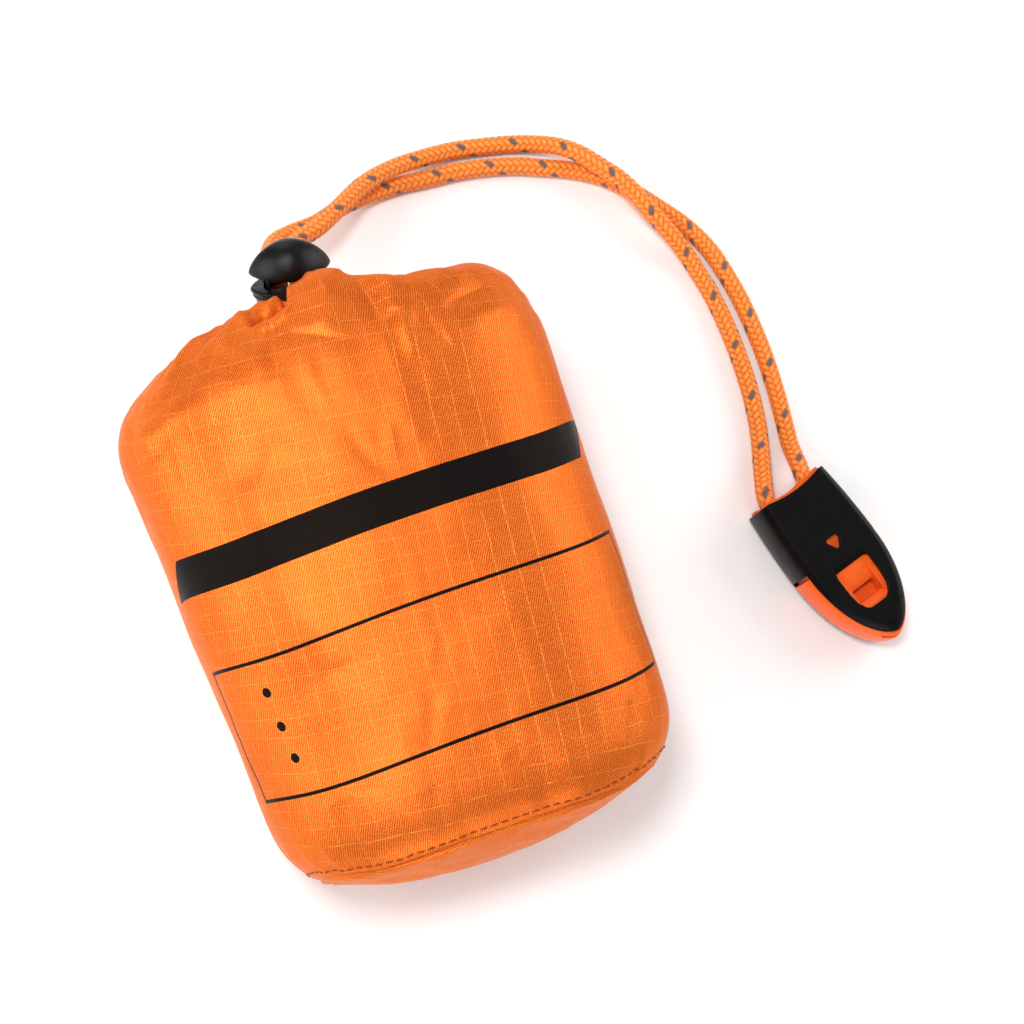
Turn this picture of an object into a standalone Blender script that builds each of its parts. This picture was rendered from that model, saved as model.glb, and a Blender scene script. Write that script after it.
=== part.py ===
"""Emergency sleeping bag, packed: a foil bag rolled flat inside a gathered nylon sack, closed by a
doubled drawcord with a spring cord lock and a whistle on its end. The sack lies on its back with its
neck towards +Y. The origin is under the middle of the sack, on the surface that it lies on."""

from math import atan2, ceil, copysign, cos, pi, radians, sin, sqrt

import bmesh
import bpy
from mathutils import Euler, Matrix, Vector

MM = 0.001

# Clearance between pieces that touch or nearly touch
GAP = 0.3 * MM

# Drawcord
CORD_DIAMETER = 4.0 * MM
STRAND_SPACING = 4.4 * MM
STRAND_STEP = 6.2 * MM

# Sack: cloth, overall size and the shape of its cross section
CLOTH = 0.8 * MM
SHOULDER_WIDTH = 92.4 * MM
BASE_WIDTH = 84.0 * MM
SACK_DEPTH = 58.0 * MM
SECTION_POWER = 0.72
SAG = 1.5 * MM
SEAM_Y = -56.1 * MM
BASE_BULGE = 5.8 * MM
CORNER_RISE = 7.0 * MM
CORNER_POWER = 5
CORNER_REACH = 17.0 * MM
SEAM_ALLOWANCE = 3.5 * MM
SHOULDER_Y = 36.0 * MM
AROUND = 56

# Gathered mouth: the hem ring's place, the overhang of the cloth round it, and the pleats
MOUTH_X = -5.1 * MM
MOUTH_Y = 11.4 * MM + SHOULDER_Y
MOUTH_HEIGHT = 0.62 * SACK_DEPTH
RING_RADIUS = 7.5 * MM
HEM_THICKNESS = 6.8 * MM
HEM_WALL = 1.0 * MM
HEM_GAP_ANGLE = radians(50)
PLEATS = 14
PLEAT_DEPTH = 0.9 * MM

# How far the cloth reaches past the shoulder before it turns in to the mouth, in millimetres: one value
# for each 20 degrees, from +X over the front. The hump in front of the cord lock is the highest.
NECK_REACH = (28.0, 26.7, 23.8, 22.3, 27.0, 27.0, 24.0, 23.4, 21.4,
              22.4, 20.5, 18.5, 17.5, 17.0, 17.0, 18.5, 21.0, 25.0)
RIM_SHARE = 0.85

# Rolled foil bag
FOIL_LAYERS = 4.1 * MM
ROLL_TURNS = 5.25
ROLL_START_Y = SEAM_Y + 9.0 * MM
ROLL_SHARE = 0.955
ROLL_CLEAR = 0.9 * MM

# Cord lock: a lens shaped barrel with a sprung button
LOCK_TILT = radians(44)
LOCK_TURN = radians(-8.5)
LOCK_LENGTH = 17.0 * MM
LOCK_DEPTH = 11.6 * MM
LENS_POWER = 1.3
BARREL_HEIGHT = 13.8 * MM
BARREL_FLOOR = 1.3 * MM
BUTTON_TRAVEL = 2.3 * MM
BUTTON_HEIGHT = 7.0 * MM
STEM_POST = 0.8 * MM
STEM_DEPTH = 4.0 * MM
STEM_BAR = 1.2 * MM
SPRING_RADIUS = 2.2 * MM
SPRING_WIRE = 0.5 * MM
SPRING_TURNS = 4.5
SPRING_SPACE = 5.3 * MM
LOCK_STAND_OFF = 4.5 * MM
STRAIGHT_RUN = 12.4 * MM

# Whistle: an orange core held in a black sleeve
WHISTLE_X = 93.5 * MM
WHISTLE_Y = -14.6 * MM
WHISTLE_TURN = radians(16.7)
WHISTLE_WIDTH = 21.2 * MM
WHISTLE_THICKNESS = 13.4 * MM
TIP_REACH = 34.0 * MM
MOUTH_REACH = 6.9 * MM
WIDEST_Y = -10.6 * MM
MOUTH_NARROWING = 2.0 * MM
MOUTH_HOLLOW = 1.0 * MM
PLATE = 1.4 * MM
PLATE_INSET = 1.7 * MM
SLEEVE_WALL = 1.5 * MM
SLEEVE_SIDE_END = -11.6 * MM
POST_RADIUS = 3.2 * MM
CORE_PLATE = 2.3 * MM
CORE_PROUD = 0.6 * MM
DIVIDER = 0.8 * MM
AIRWAY_WIDTH = 6.8 * MM
AIRWAY_HEIGHT = 1.1 * MM
CHAMBER_HEIGHT = 2.2 * MM
LIP_EDGE = 0.3 * MM
CHAMBER_TOP_Y = -13.4 * MM
WINDOW_TOP_Y = -14.6 * MM
LIP_EDGE_Y = -20.0 * MM
SLOT_END_Y = -23.1 * MM
WINDOW_END_Y = -25.1 * MM
WINDOW_WIDTH_TOP = 9.4 * MM
WINDOW_WIDTH_END = 6.8 * MM
VENT_Y = -8.3 * MM
VENT_REACH = 1.1 * MM
VENT_ROUND = 0.7 * MM

# The whistle's rounded sides: how far they draw in, in millimetres, at each share of its thickness
SIDE_PROFILE = ((0.0, 2.4), (0.07, 1.1), (0.22, 0.3), (0.5, 0.0), (0.78, 0.3), (0.93, 1.1), (1.0, 2.4))
TIP_BEVEL = 1.6

# Routes of the two strands from the cord lock to the whistle, chosen by hand, in millimetres
FRONT_ROUTE = (
    (2.0, 75.8, 18.4), (5.0, 78.1, 16.5), (9.8, 80.0, 14.8), (16.4, 84.1, 11.9), (23.8, 88.7, 8.7),
    (31.6, 91.4, 6.1), (39.5, 92.6, 3.9), (47.3, 92.9, 2.4), (54.8, 91.9, 2.1), (62.1, 90.4, 2.1),
    (67.0, 88.6, 2.8), (71.2, 86.0, 4.5), (74.8, 82.4, 6.1), (78.2, 77.8, 6.9), (81.6, 73.3, 7.0),
    (84.1, 68.4, 6.9), (86.2, 63.3, 6.4), (88.6, 58.6, 5.2), (90.9, 54.1, 3.4), (92.5, 49.1, 2.2),
    (93.9, 42.0, 2.1), (94.6, 33.1, 2.1), (94.5, 22.3, 2.1), (93.6, 13.3, 2.1), (92.3, 6.9, 2.1),
)
BACK_ROUTE = (
    (-2.7, 76.5, 17.3), (0.4, 80.1, 13.4), (5.2, 81.8, 10.9), (10.4, 82.9, 9.0), (18.4, 86.3, 5.2),
    (25.6, 88.1, 2.9), (33.0, 88.6, 2.1), (39.0, 88.2, 2.1), (46.3, 87.9, 2.1), (53.4, 86.9, 2.1),
    (60.5, 85.2, 2.1), (67.0, 82.8, 2.1), (73.2, 80.3, 2.1), (79.5, 76.5, 2.1), (84.8, 71.4, 2.1),
    (89.5, 65.6, 2.1), (94.0, 59.5, 2.1), (97.3, 52.7, 2.1), (99.1, 45.2, 2.1), (100.2, 37.4, 2.1),
    (100.6, 26.1, 2.1), (100.1, 16.5, 2.1), (99.2, 8.5, 2.1), (98.3, 2.6, 2.6),
)

CORD_RADIUS = CORD_DIAMETER / 2
LOCK_ROTATION = Euler((-LOCK_TILT, 0, LOCK_TURN)).to_matrix()
LOCK_ACROSS = LOCK_ROTATION.col[0].copy()
LOCK_OUT = LOCK_ROTATION.col[1].copy()
LOCK_UP = LOCK_ROTATION.col[2].copy()
MOUTH_CENTRE = Vector((MOUTH_X, MOUTH_Y, MOUTH_HEIGHT))
RING_TO_LOCK = HEM_THICKNESS / 2 + LOCK_STAND_OFF / 2 + LOCK_DEPTH / 2
LOCK_CENTRE = MOUTH_CENTRE + LOCK_UP * RING_RADIUS + LOCK_OUT * RING_TO_LOCK
LOOP_RADIUS = RING_RADIUS + HEM_THICKNESS / 2 + CLOTH + GAP
HALF_DEPTH = SACK_DEPTH / 2 + SAG / 2


def clear_scene():
    for old in list(bpy.data.objects):
        bpy.data.objects.remove(old, do_unlink=True)


def make_material(name, colour, roughness, metallic=0.0):
    material = bpy.data.materials.new(name)
    material.use_nodes = True
    shader = material.node_tree.nodes["Principled BSDF"]
    shader.inputs["Base Color"].default_value = (*colour, 1.0)
    shader.inputs["Roughness"].default_value = roughness
    shader.inputs["Metallic"].default_value = metallic
    return material


def add_object(name, data, material, parent=None):
    made = bpy.data.objects.new(name, data)
    bpy.context.scene.collection.objects.link(made)
    made.parent = parent
    if material:
        data.materials.append(material)
    return made


def add_mesh(name, mesh_tool, material, parent=None, crease=40):
    """Turns a bmesh into an object with outward faces and smooth shading."""
    bmesh.ops.recalc_face_normals(mesh_tool, faces=mesh_tool.faces[:])
    mesh = bpy.data.meshes.new(name)
    mesh_tool.to_mesh(mesh)
    mesh_tool.free()
    mesh.shade_smooth()
    mesh.set_sharp_from_angle(angle=radians(crease))
    return add_object(name, mesh, material, parent)


def add_empty(name, place, rotation, parent=None):
    empty = bpy.data.objects.new(name, None)
    bpy.context.scene.collection.objects.link(empty)
    empty.parent = parent
    empty.location = place
    empty.rotation_euler = rotation
    return empty


def skin(loops, wrap=False):
    """A bmesh over loops of equally many points. The ends are capped, or joined where wrap is set."""
    made = bmesh.new()
    rows = [[made.verts.new(point) for point in loop] for loop in loops]
    pairs = list(zip(rows, rows[1:])) + ([(rows[-1], rows[0])] if wrap else [])
    count = len(rows[0])
    for low, high in pairs:
        for i in range(count):
            j = (i + 1) % count
            made.faces.new((low[i], low[j], high[j], high[i]))
    if not wrap:
        made.faces.new(rows[0])
        made.faces.new(rows[-1])
    return made


def prism(outline, low, high):
    """A bmesh of a flat outline in X and Y, raised from low to high in Z."""
    return skin([[(x, y, z) for x, y in outline] for z in (low, high)])


def side_prism(profile, half_width):
    """A bmesh of a profile in Y and Z, drawn out to both sides in X."""
    return skin([[(x, y, z) for y, z in profile] for x in (-half_width, half_width)])


def cut(target, cutter, operation="DIFFERENCE"):
    cutter.hide_render = True
    cutter.display_type = "WIRE"
    change = target.modifiers.new(cutter.name, "BOOLEAN")
    change.object = cutter
    change.operation = operation
    change.solver = "EXACT"


def smooth_route(points, step):
    """Points a step apart on a centripetal spline through the route's own points."""
    route = [Vector(point) for point in points]
    route = [2 * route[0] - route[1], *route, 2 * route[-1] - route[-2]]
    fine = []
    for p0, p1, p2, p3 in zip(route, route[1:], route[2:], route[3:]):
        k1 = sqrt((p1 - p0).length)
        k2 = k1 + sqrt((p2 - p1).length)
        k3 = k2 + sqrt((p3 - p2).length)
        for share in range(20):
            k = k1 + (k2 - k1) * share / 20
            a1 = p0.lerp(p1, k / k1)
            a2 = p1.lerp(p2, (k - k1) / (k2 - k1))
            a3 = p2.lerp(p3, (k - k2) / (k3 - k2))
            b1 = a1.lerp(a2, k / k2)
            b2 = a2.lerp(a3, (k - k1) / (k3 - k1))
            fine.append(b1.lerp(b2, (k - k1) / (k2 - k1)))
    fine.append(route[-2])
    reach = [0.0]
    for before, after in zip(fine, fine[1:]):
        reach.append(reach[-1] + (after - before).length)
    count = ceil(reach[-1] / step)
    spaced = []
    at = 0
    for i in range(count):
        wanted = reach[-1] * i / count
        while reach[at + 1] < wanted:
            at += 1
        share = (wanted - reach[at]) / (reach[at + 1] - reach[at])
        spaced.append(fine[at].lerp(fine[at + 1], share))
    return spaced + [fine[-1]]


def add_tube(name, points, radius, material, parent=None, bevel_resolution=2):
    curve = bpy.data.curves.new(name, "CURVE")
    curve.dimensions = "3D"
    curve.bevel_depth = radius
    curve.bevel_resolution = bevel_resolution
    curve.use_fill_caps = True
    spline = curve.splines.new("POLY")
    spline.points.add(len(points) - 1)
    for target, point in zip(spline.points, points):
        target.co = (*point, 1.0)
    return add_object(name, curve, material, parent)


def rounded(value, power):
    return copysign(abs(value) ** power, value)


# Sack

def sack_half_width(y):
    """Half the sack's width, wider towards the shoulders, where the roll fills it."""
    share = (y - SEAM_Y) / (SHOULDER_Y - SEAM_Y)
    return (BASE_WIDTH + (SHOULDER_WIDTH - BASE_WIDTH) * min(max(share, 0), 1)) / 2


def section_point(turn, y, scale=1.0, inset=0.0):
    """A point of the sack's cross section, pressed flat underneath, with its corners drawn in at the base."""
    half_width = sack_half_width(y) * scale - inset
    half_depth = HALF_DEPTH * scale - inset
    x = half_width * rounded(cos(turn), SECTION_POWER)
    z = HALF_DEPTH - SAG + half_depth * rounded(sin(turn), SECTION_POWER)
    drawn = min(max((SEAM_Y + CORNER_REACH - y) / CORNER_REACH, 0), 1)
    rise = CORNER_RISE * drawn * abs(x / (BASE_WIDTH / 2)) ** CORNER_POWER
    return Vector((x, y + rise, max(z, inset)))


def turns(count):
    return [2 * pi * i / count for i in range(count)]


def hem_direction(turn):
    return LOCK_ACROSS * cos(turn) + LOCK_UP * sin(turn)


def neck_reach(turn):
    """The reach at any turn, on a smooth closed curve through the values for each 20 degrees."""
    count = len(NECK_REACH)
    place = turn / (2 * pi) * count
    at = int(place // 1)
    share = place - at
    before, low, high, after = (NECK_REACH[(at + i) % count] for i in (-1, 0, 1, 2))
    curve = (2 * low + (high - before) * share + (2 * before - 5 * low + 4 * high - after) * share ** 2
             + (3 * low - before - 3 * high + after) * share ** 3)
    return curve / 2 * MM


def gathered_point(turn, share):
    """A point of the cloth from the shoulder, over the rim of the closed end and in to the hem."""
    start = section_point(turn, SHOULDER_Y)
    hem = MOUTH_CENTRE + hem_direction(turn) * LOOP_RADIUS - LOCK_OUT * (HEM_THICKNESS / 4)
    reach = neck_reach(turn)
    first = start + Vector((0, reach * RIM_SHARE, 0))
    second = hem.lerp(start, 0.2 - 0.08 * max(sin(turn), 0))
    second.y = SHOULDER_Y + reach
    back = 1 - share
    point = (back ** 3 * start + 3 * back ** 2 * share * first
             + 3 * back * share ** 2 * second + share ** 3 * hem)
    swell = sin(pi * min(max((share - 0.25) / 0.75, 0), 1))
    fold = PLEAT_DEPTH * swell * cos(PLEATS * turn)
    outward = (point - MOUTH_CENTRE).normalized()
    return point + outward * fold


def make_sack_body(cloth):
    """The cloth tube: base seam, tapered sides, shoulders and the gathered end."""
    lower = ((SEAM_Y, 0.875), (SEAM_Y + 1.6 * MM, 0.93), (SEAM_Y + 4.5 * MM, 0.968),
             (SEAM_Y + 9.0 * MM, 0.99), (SEAM_Y + 15.0 * MM, 1.0))
    around = turns(AROUND)
    loops = [[section_point(turn, y, scale) for turn in around] for y, scale in lower]
    straight = 5
    for i in range(1, straight):
        y = lower[-1][0] + (SHOULDER_Y - lower[-1][0]) * i / straight
        loops.append([section_point(turn, y) for turn in around])
    for i in range(13):
        loops.append([gathered_point(turn, i / 12) for turn in around])
    made = bmesh.new()
    rows = [[made.verts.new(point) for point in loop] for loop in loops]
    for low, high in zip(rows, rows[1:]):
        for i in range(AROUND):
            j = (i + 1) % AROUND
            made.faces.new((low[i], high[i], high[j], low[j]))
    mesh = bpy.data.meshes.new("sack_body")
    made.to_mesh(mesh)
    made.free()
    mesh.shade_smooth()
    body = add_object("sack_body", mesh, cloth)
    wall = body.modifiers.new("cloth", "SOLIDIFY")
    wall.thickness = CLOTH
    wall.offset = -1
    wall.use_even_offset = True
    return body


def make_sack_base(cloth):
    """The oval base panel, domed outwards, with its seam allowance turned in."""
    around = turns(AROUND)
    edge = 0.875
    rim_y = SEAM_Y - GAP
    inner = CLOTH + GAP
    rows = (4, 3, 2, 1)

    def dome(share, inset, lift):
        y = rim_y - BASE_BULGE * (1 - share ** 2) + lift
        return [section_point(turn, SEAM_Y, edge * share, inset) + Vector((0, y - SEAM_Y, 0))
                for turn in around]

    outer = [dome(row / 4, 0, 0) for row in reversed(rows)]
    collar = [[section_point(turn, SEAM_Y, edge, inset) + Vector((0, y - SEAM_Y, 0)) for turn in around]
              for inset, y in ((inner, rim_y), (inner, rim_y + SEAM_ALLOWANCE),
                               (inner + CLOTH, rim_y + SEAM_ALLOWANCE))]
    inside = [dome(row / 4, (inner + CLOTH) * row / 4, CLOTH) for row in rows]
    return add_mesh("sack_base", skin(outer + collar + inside), cloth)


def make_hem(cloth):
    """The hem that the drawcord runs in: a gathered tube bent round into a ring, open where the cord leaves."""
    stations = 34
    outer_sides = 10
    inner_radius = CORD_RADIUS + GAP
    start = pi / 2 + HEM_GAP_ANGLE
    loops = []
    for i in range(stations):
        turn = start + (2 * pi - 2 * HEM_GAP_ANGLE) * i / (stations - 1)
        outward = hem_direction(turn)
        centre = MOUTH_CENTRE + outward * RING_RADIUS
        gather = HEM_THICKNESS / 2 - (HEM_WALL / 2 if i % 2 else 0)
        loops.append([centre + (outward * cos(side) + LOCK_OUT * sin(side)) * radius
                      for radius, direction in ((gather, 1), (inner_radius, -1))
                      for side in [direction * side for side in turns(outer_sides)]])
    made = bmesh.new()
    rows = [[made.verts.new(point) for point in loop] for loop in loops]
    for low, high in zip(rows, rows[1:]):
        for ring in (0, outer_sides):
            for i in range(outer_sides):
                j = (i + 1) % outer_sides
                made.faces.new((low[ring + i], low[ring + j], high[ring + j], high[ring + i]))
    for row in (rows[0], rows[-1]):
        for i in range(outer_sides):
            j = (i + 1) % outer_sides
            facing = outer_sides + (-i) % outer_sides
            facing_next = outer_sides + (-j) % outer_sides
            made.faces.new((row[i], row[j], row[facing_next], row[facing]))
    return add_mesh("mouth_hem", made, cloth, crease=60)


def make_roll(foil):
    """The foil bag, folded to a strip and rolled flat: one spiral of film layers, as long as the hem leaves room."""
    roll_end_y = MOUTH_Y - LOCK_UP.y * RING_RADIUS - HEM_THICKNESS / 2 - ROLL_CLEAR
    steps = int(ROLL_TURNS * 28)
    pitch = FOIL_LAYERS + GAP
    first = CLOTH + GAP
    y = SEAM_Y + CORNER_REACH
    outer = []
    inner = []
    for i in range(steps + 1):
        turn = 2 * pi * ROLL_TURNS * i / steps
        inset = first + pitch * ROLL_TURNS * i / steps
        outer.append(section_point(turn, y, ROLL_SHARE, inset))
        inner.append(section_point(turn, y, ROLL_SHARE, inset + FOIL_LAYERS))
    outline = outer + inner[::-1]
    made = bmesh.new()
    rows = [[made.verts.new((point.x, end, point.z)) for point in outline]
            for end in (ROLL_START_Y, roll_end_y)]
    count = len(outline)
    for i in range(count):
        j = (i + 1) % count
        made.faces.new((rows[0][i], rows[0][j], rows[1][j], rows[1][i]))
    for row in rows:
        for i in range(steps):
            made.faces.new((row[i], row[i + 1], row[count - 2 - i], row[count - 1 - i]))
    return add_mesh("sleeping_bag_roll", made, foil)


# Drawcord

def lock_point(x, y, z):
    return LOCK_CENTRE + LOCK_ROTATION @ Vector((x, y, z))


def whistle_point(x, y, z):
    turned = Matrix.Rotation(WHISTLE_TURN, 3, "Z") @ Vector((x, y, 0))
    return Vector((WHISTLE_X, WHISTLE_Y, z)) + turned


def strand_route(side, route, end_points):
    """One strand: straight out of the lock, along its hand made route, and into the whistle."""
    exit_run = LOCK_DEPTH / 2 + STRAIGHT_RUN
    starts = [lock_point(side * STRAND_SPACING / 2, y, 0) for y in (GAP / 2, exit_run / 2, exit_run)]
    middle = [Vector(point) * MM for point in route]
    return smooth_route(starts + middle + end_points, STRAND_STEP)


def make_drawcord(braid):
    bight = POST_RADIUS + GAP + CORD_RADIUS
    middle = WHISTLE_THICKNESS / 2
    mouth = MOUTH_REACH - MOUTH_HOLLOW / 2
    front_end = [whistle_point(x, y, z) for x, y, z in (
        (-0.25 * bight, 1.95 * mouth, 0.68 * middle), (-0.8 * bight, 1.35 * mouth, middle),
        (-0.95 * bight, 0.9 * mouth, middle), (-bight, 0.35 * mouth, middle), (-bight, GAP / 2, middle))]
    back_end = [whistle_point(x, y, z) for x, y, z in (
        (1.32 * bight, 1.6 * mouth, 0.78 * middle), (1.08 * bight, 1.15 * mouth, 0.97 * middle),
        (bight, 0.6 * mouth, middle), (bight, GAP / 2, middle))]
    add_tube("drawcord_front_strand", strand_route(1, FRONT_ROUTE, front_end), CORD_RADIUS, braid)
    add_tube("drawcord_back_strand", strand_route(-1, BACK_ROUTE, back_end), CORD_RADIUS, braid)
    round_post = [whistle_point(-bight * cos(turn), -bight * sin(turn), middle)
                  for turn in [pi * i / 14 for i in range(15)]]
    straight = [whistle_point(side * bight, -GAP / 2, middle) for side in (-1, 1)]
    add_tube("drawcord_bight", [straight[0], *round_post[1:-1], straight[1]], CORD_RADIUS, braid)
    make_hem_cord(braid)


def make_hem_cord(braid):
    """The drawcord's hidden part: from inside the lock, round the hem and back into the lock."""
    half = STRAND_SPACING / 2
    leave = radians(40)
    arc = [pi / 2 + leave + (2 * pi - 2 * leave) * i / 20 for i in range(21)]
    ring = [MOUTH_CENTRE + hem_direction(turn) * RING_RADIUS for turn in arc]

    def lead(side):
        return [lock_point(side * x, -y, z) for x, y, z in (
            (half, GAP / 2, 0), (half, LOCK_DEPTH / 2 - GAP, 0), (1.1 * half, RING_TO_LOCK - 4.2 * MM, 0),
            (1.4 * half, RING_TO_LOCK - 1.6 * MM, 0))]

    route = smooth_route(lead(-1) + ring + lead(1)[::-1], CORD_DIAMETER / 2)
    add_tube("drawcord_in_hem", route, CORD_RADIUS, braid)


# Cord lock

def lens(scale, z, count=36):
    """The lock's eye shaped outline at a height."""
    half_length = LOCK_LENGTH / 2 * scale
    half_depth = LOCK_DEPTH / 2 * scale
    return [(half_length * cos(turn), half_depth * rounded(sin(turn), LENS_POWER), z)
            for turn in turns(count)]


def slot_outline(half_width, half_height, arc_steps=5):
    """A slot with round ends, wider than it is high, as points in X and Z."""
    points = []
    for side in (1, -1):
        for i in range(arc_steps + 1):
            turn = -pi / 2 + pi * i / arc_steps
            points.append((side * (half_width - half_height + half_height * cos(turn)),
                           side * half_height * sin(turn)))
    return points


def along_out(outline, reach):
    """A bmesh of an outline in X and Z, drawn out both ways along Y."""
    return skin([[(x, y, z) for x, z in outline] for y in (-reach, reach)])


def make_lock(plastic, steel):
    lock_axis = add_empty("cord_lock_axis", LOCK_CENTRE, (-LOCK_TILT, 0, LOCK_TURN))
    hole_half_height = CORD_RADIUS + GAP
    hole_half_width = STRAND_SPACING / 2 + CORD_RADIUS + GAP
    stem_half_width = hole_half_width + STEM_POST
    bar_top = -hole_half_height
    bar_low = bar_top - STEM_BAR
    floor_top = bar_low - SPRING_SPACE
    bottom = floor_top - BARREL_FLOOR
    rim = bottom + BARREL_HEIGHT
    well_low = bar_low - BUTTON_TRAVEL - GAP
    half_wall = STEM_DEPTH / 2 + GAP

    shape = ((0.0, 0.58), (0.05, 0.72), (0.16, 0.80), (0.29, 0.84), (0.71, 0.87), (0.94, 0.985), (1.0, 1.0))
    body = add_mesh("cord_lock_body",
                    skin([lens(scale, bottom + BARREL_HEIGHT * share) for share, scale in shape]),
                    plastic, lock_axis)
    corner = STEM_DEPTH / 4
    well = add_mesh("stem_well", prism(block_outline(stem_half_width + GAP, half_wall, corner), well_low,
                                       rim + CLOTH), None, lock_axis)
    spring_well = add_mesh("spring_well", prism(disc(SPRING_RADIUS + SPRING_WIRE / 2 + GAP, 16), floor_top,
                                                well_low + GAP), None, lock_axis)
    cord_hole = add_mesh("cord_hole", along_out(slot_outline(hole_half_width, hole_half_height), LOCK_DEPTH),
                         None, lock_axis)
    for cutter in (well, spring_well, cord_hole):
        cut(body, cutter)

    under = rim + BUTTON_TRAVEL + GAP
    dome = ((0.0, 0.88), (0.06, 0.97), (0.14, 1.0), (0.3, 0.97), (0.5, 0.88), (0.68, 0.75), (0.83, 0.57),
            (0.93, 0.39), (0.985, 0.2), (1.0, 0.05))
    button = add_mesh("cord_lock_button",
                      skin([lens(scale, under + BUTTON_HEIGHT * share) for share, scale in dome]),
                      plastic, lock_axis)
    stem = add_mesh("stem", prism(block_outline(stem_half_width, STEM_DEPTH / 2, corner), bar_low,
                                  under + CLOTH), None, lock_axis)
    window_low = bar_top
    window_high = hole_half_height + BUTTON_TRAVEL
    window = add_mesh("stem_window",
                      along_out([(side * hole_half_width, z) for side, z in (
                          (-1, window_low), (1, window_low), (1, window_high), (-1, window_high))],
                          LOCK_DEPTH), None, lock_axis)
    cut(button, stem, "UNION")
    cut(button, window)

    low = floor_top + GAP + SPRING_WIRE / 2
    high = bar_low - GAP - SPRING_WIRE / 2
    steps = int(SPRING_TURNS * 10)
    coil = [(SPRING_RADIUS * cos(2 * pi * SPRING_TURNS * i / steps),
             SPRING_RADIUS * sin(2 * pi * SPRING_TURNS * i / steps),
             low + (high - low) * i / steps) for i in range(steps + 1)]
    add_tube("cord_lock_spring", coil, SPRING_WIRE / 2, steel, lock_axis, bevel_resolution=1)


def block_outline(half_width, half_depth, corner, steps=3):
    """A rectangle with round corners, as points in X and Y."""
    points = []
    for quarter, (sx, sy) in enumerate(((1, 1), (-1, 1), (-1, -1), (1, -1))):
        for i in range(steps + 1):
            turn = pi / 2 * (quarter + i / steps)
            points.append((sx * (half_width - corner) + corner * cos(turn),
                           sy * (half_depth - corner) + corner * sin(turn)))
    return points


def disc(radius, count):
    return [(radius * cos(turn), radius * sin(turn)) for turn in turns(count)]


# Whistle

def vent_outline(steps=4):
    """A triangle with round corners, one of them towards the tip."""
    points = []
    for corner in range(3):
        middle = -pi / 2 + corner * 2 * pi / 3
        for i in range(steps + 1):
            turn = middle - pi / 3 + 2 * pi / 3 * i / steps
            points.append((VENT_REACH * cos(middle) + VENT_ROUND * cos(turn),
                           VENT_Y + VENT_REACH * sin(middle) + VENT_ROUND * sin(turn)))
    return points


def whistle_half_width(y):
    """Half the whistle's width: full near the middle, narrower at the cord's end, round at the tip."""
    half = WHISTLE_WIDTH / 2
    if y > WIDEST_Y:
        return half - MOUTH_NARROWING / 2 * ((y - WIDEST_Y) / (MOUTH_REACH - WIDEST_Y)) ** 2
    reach = min((WIDEST_Y - y) / (TIP_REACH + WIDEST_Y), 1.0)
    return half * (1 - reach ** 2.2) ** 0.625


def whistle_side(y_from, y_to, steps, inset):
    """The right hand edge from one height to another."""
    heights = [y_from + (y_to - y_from) * i / steps for i in range(steps + 1)]
    return [(whistle_half_width(y) - inset, y) for y in heights]


def tip_side(y_from, steps, inset):
    """The right hand edge down to the tip, with closer points where it turns fastest."""
    reach = TIP_REACH - inset + y_from
    heights = [y_from - reach * sin(pi / 2 * i / steps) for i in range(steps)]
    return [(whistle_half_width(y) - inset, y) for y in heights if whistle_half_width(y) > inset]


def mirrored(right, tip):
    """A whole outline from its right hand edge and its lowest point."""
    return right + [(0.0, tip)] + [(-x, y) for x, y in reversed(right)]


def drawn_in(outline, inset, least_below):
    """An outline with its sides drawn in, and from the sleeve's open sides down at least so far, more at the tip."""
    points = []
    for x, y in outline:
        below = SLEEVE_SIDE_END - y
        draw = max(inset, least_below) if below > 0 else inset
        share = draw / (WHISTLE_WIDTH / 2)
        tip = TIP_BEVEL * draw / (TIP_REACH + SLEEVE_SIDE_END)
        points.append((x * (1 - share), y + max(below, 0) * tip))
    return points


def side_inset(height):
    """How far the whistle's sides draw in at a height."""
    share = height / WHISTLE_THICKNESS
    for (low, low_inset), (high, high_inset) in zip(SIDE_PROFILE, SIDE_PROFILE[1:]):
        if share <= high:
            break
    return (low_inset + (high_inset - low_inset) * (share - low) / (high - low)) * MM


def side_heights(low, high):
    """The heights at which the whistle's sides change their slope, between two others."""
    steps = [share * WHISTLE_THICKNESS for share, _ in SIDE_PROFILE] + [PLATE, WHISTLE_THICKNESS - PLATE]
    return [low] + sorted(step for step in steps if low < step < high) + [high]


def hollow_top(half_width, top, steps=6):
    """The cord end's edge, hollowed between its two horns, from right to left."""
    points = []
    for i in range(1, steps):
        x = half_width * (1 - 2 * i / steps)
        points.append((x, top - MOUTH_HOLLOW * (1 - (x / half_width) ** 2)))
    return points[::-1]


def make_whistle(black, orange):
    pivot = add_empty("whistle_pivot", (WHISTLE_X, WHISTLE_Y, 0), (0, 0, WHISTLE_TURN))
    make_whistle_sleeve(black, pivot)
    make_whistle_core(orange, pivot)


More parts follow.
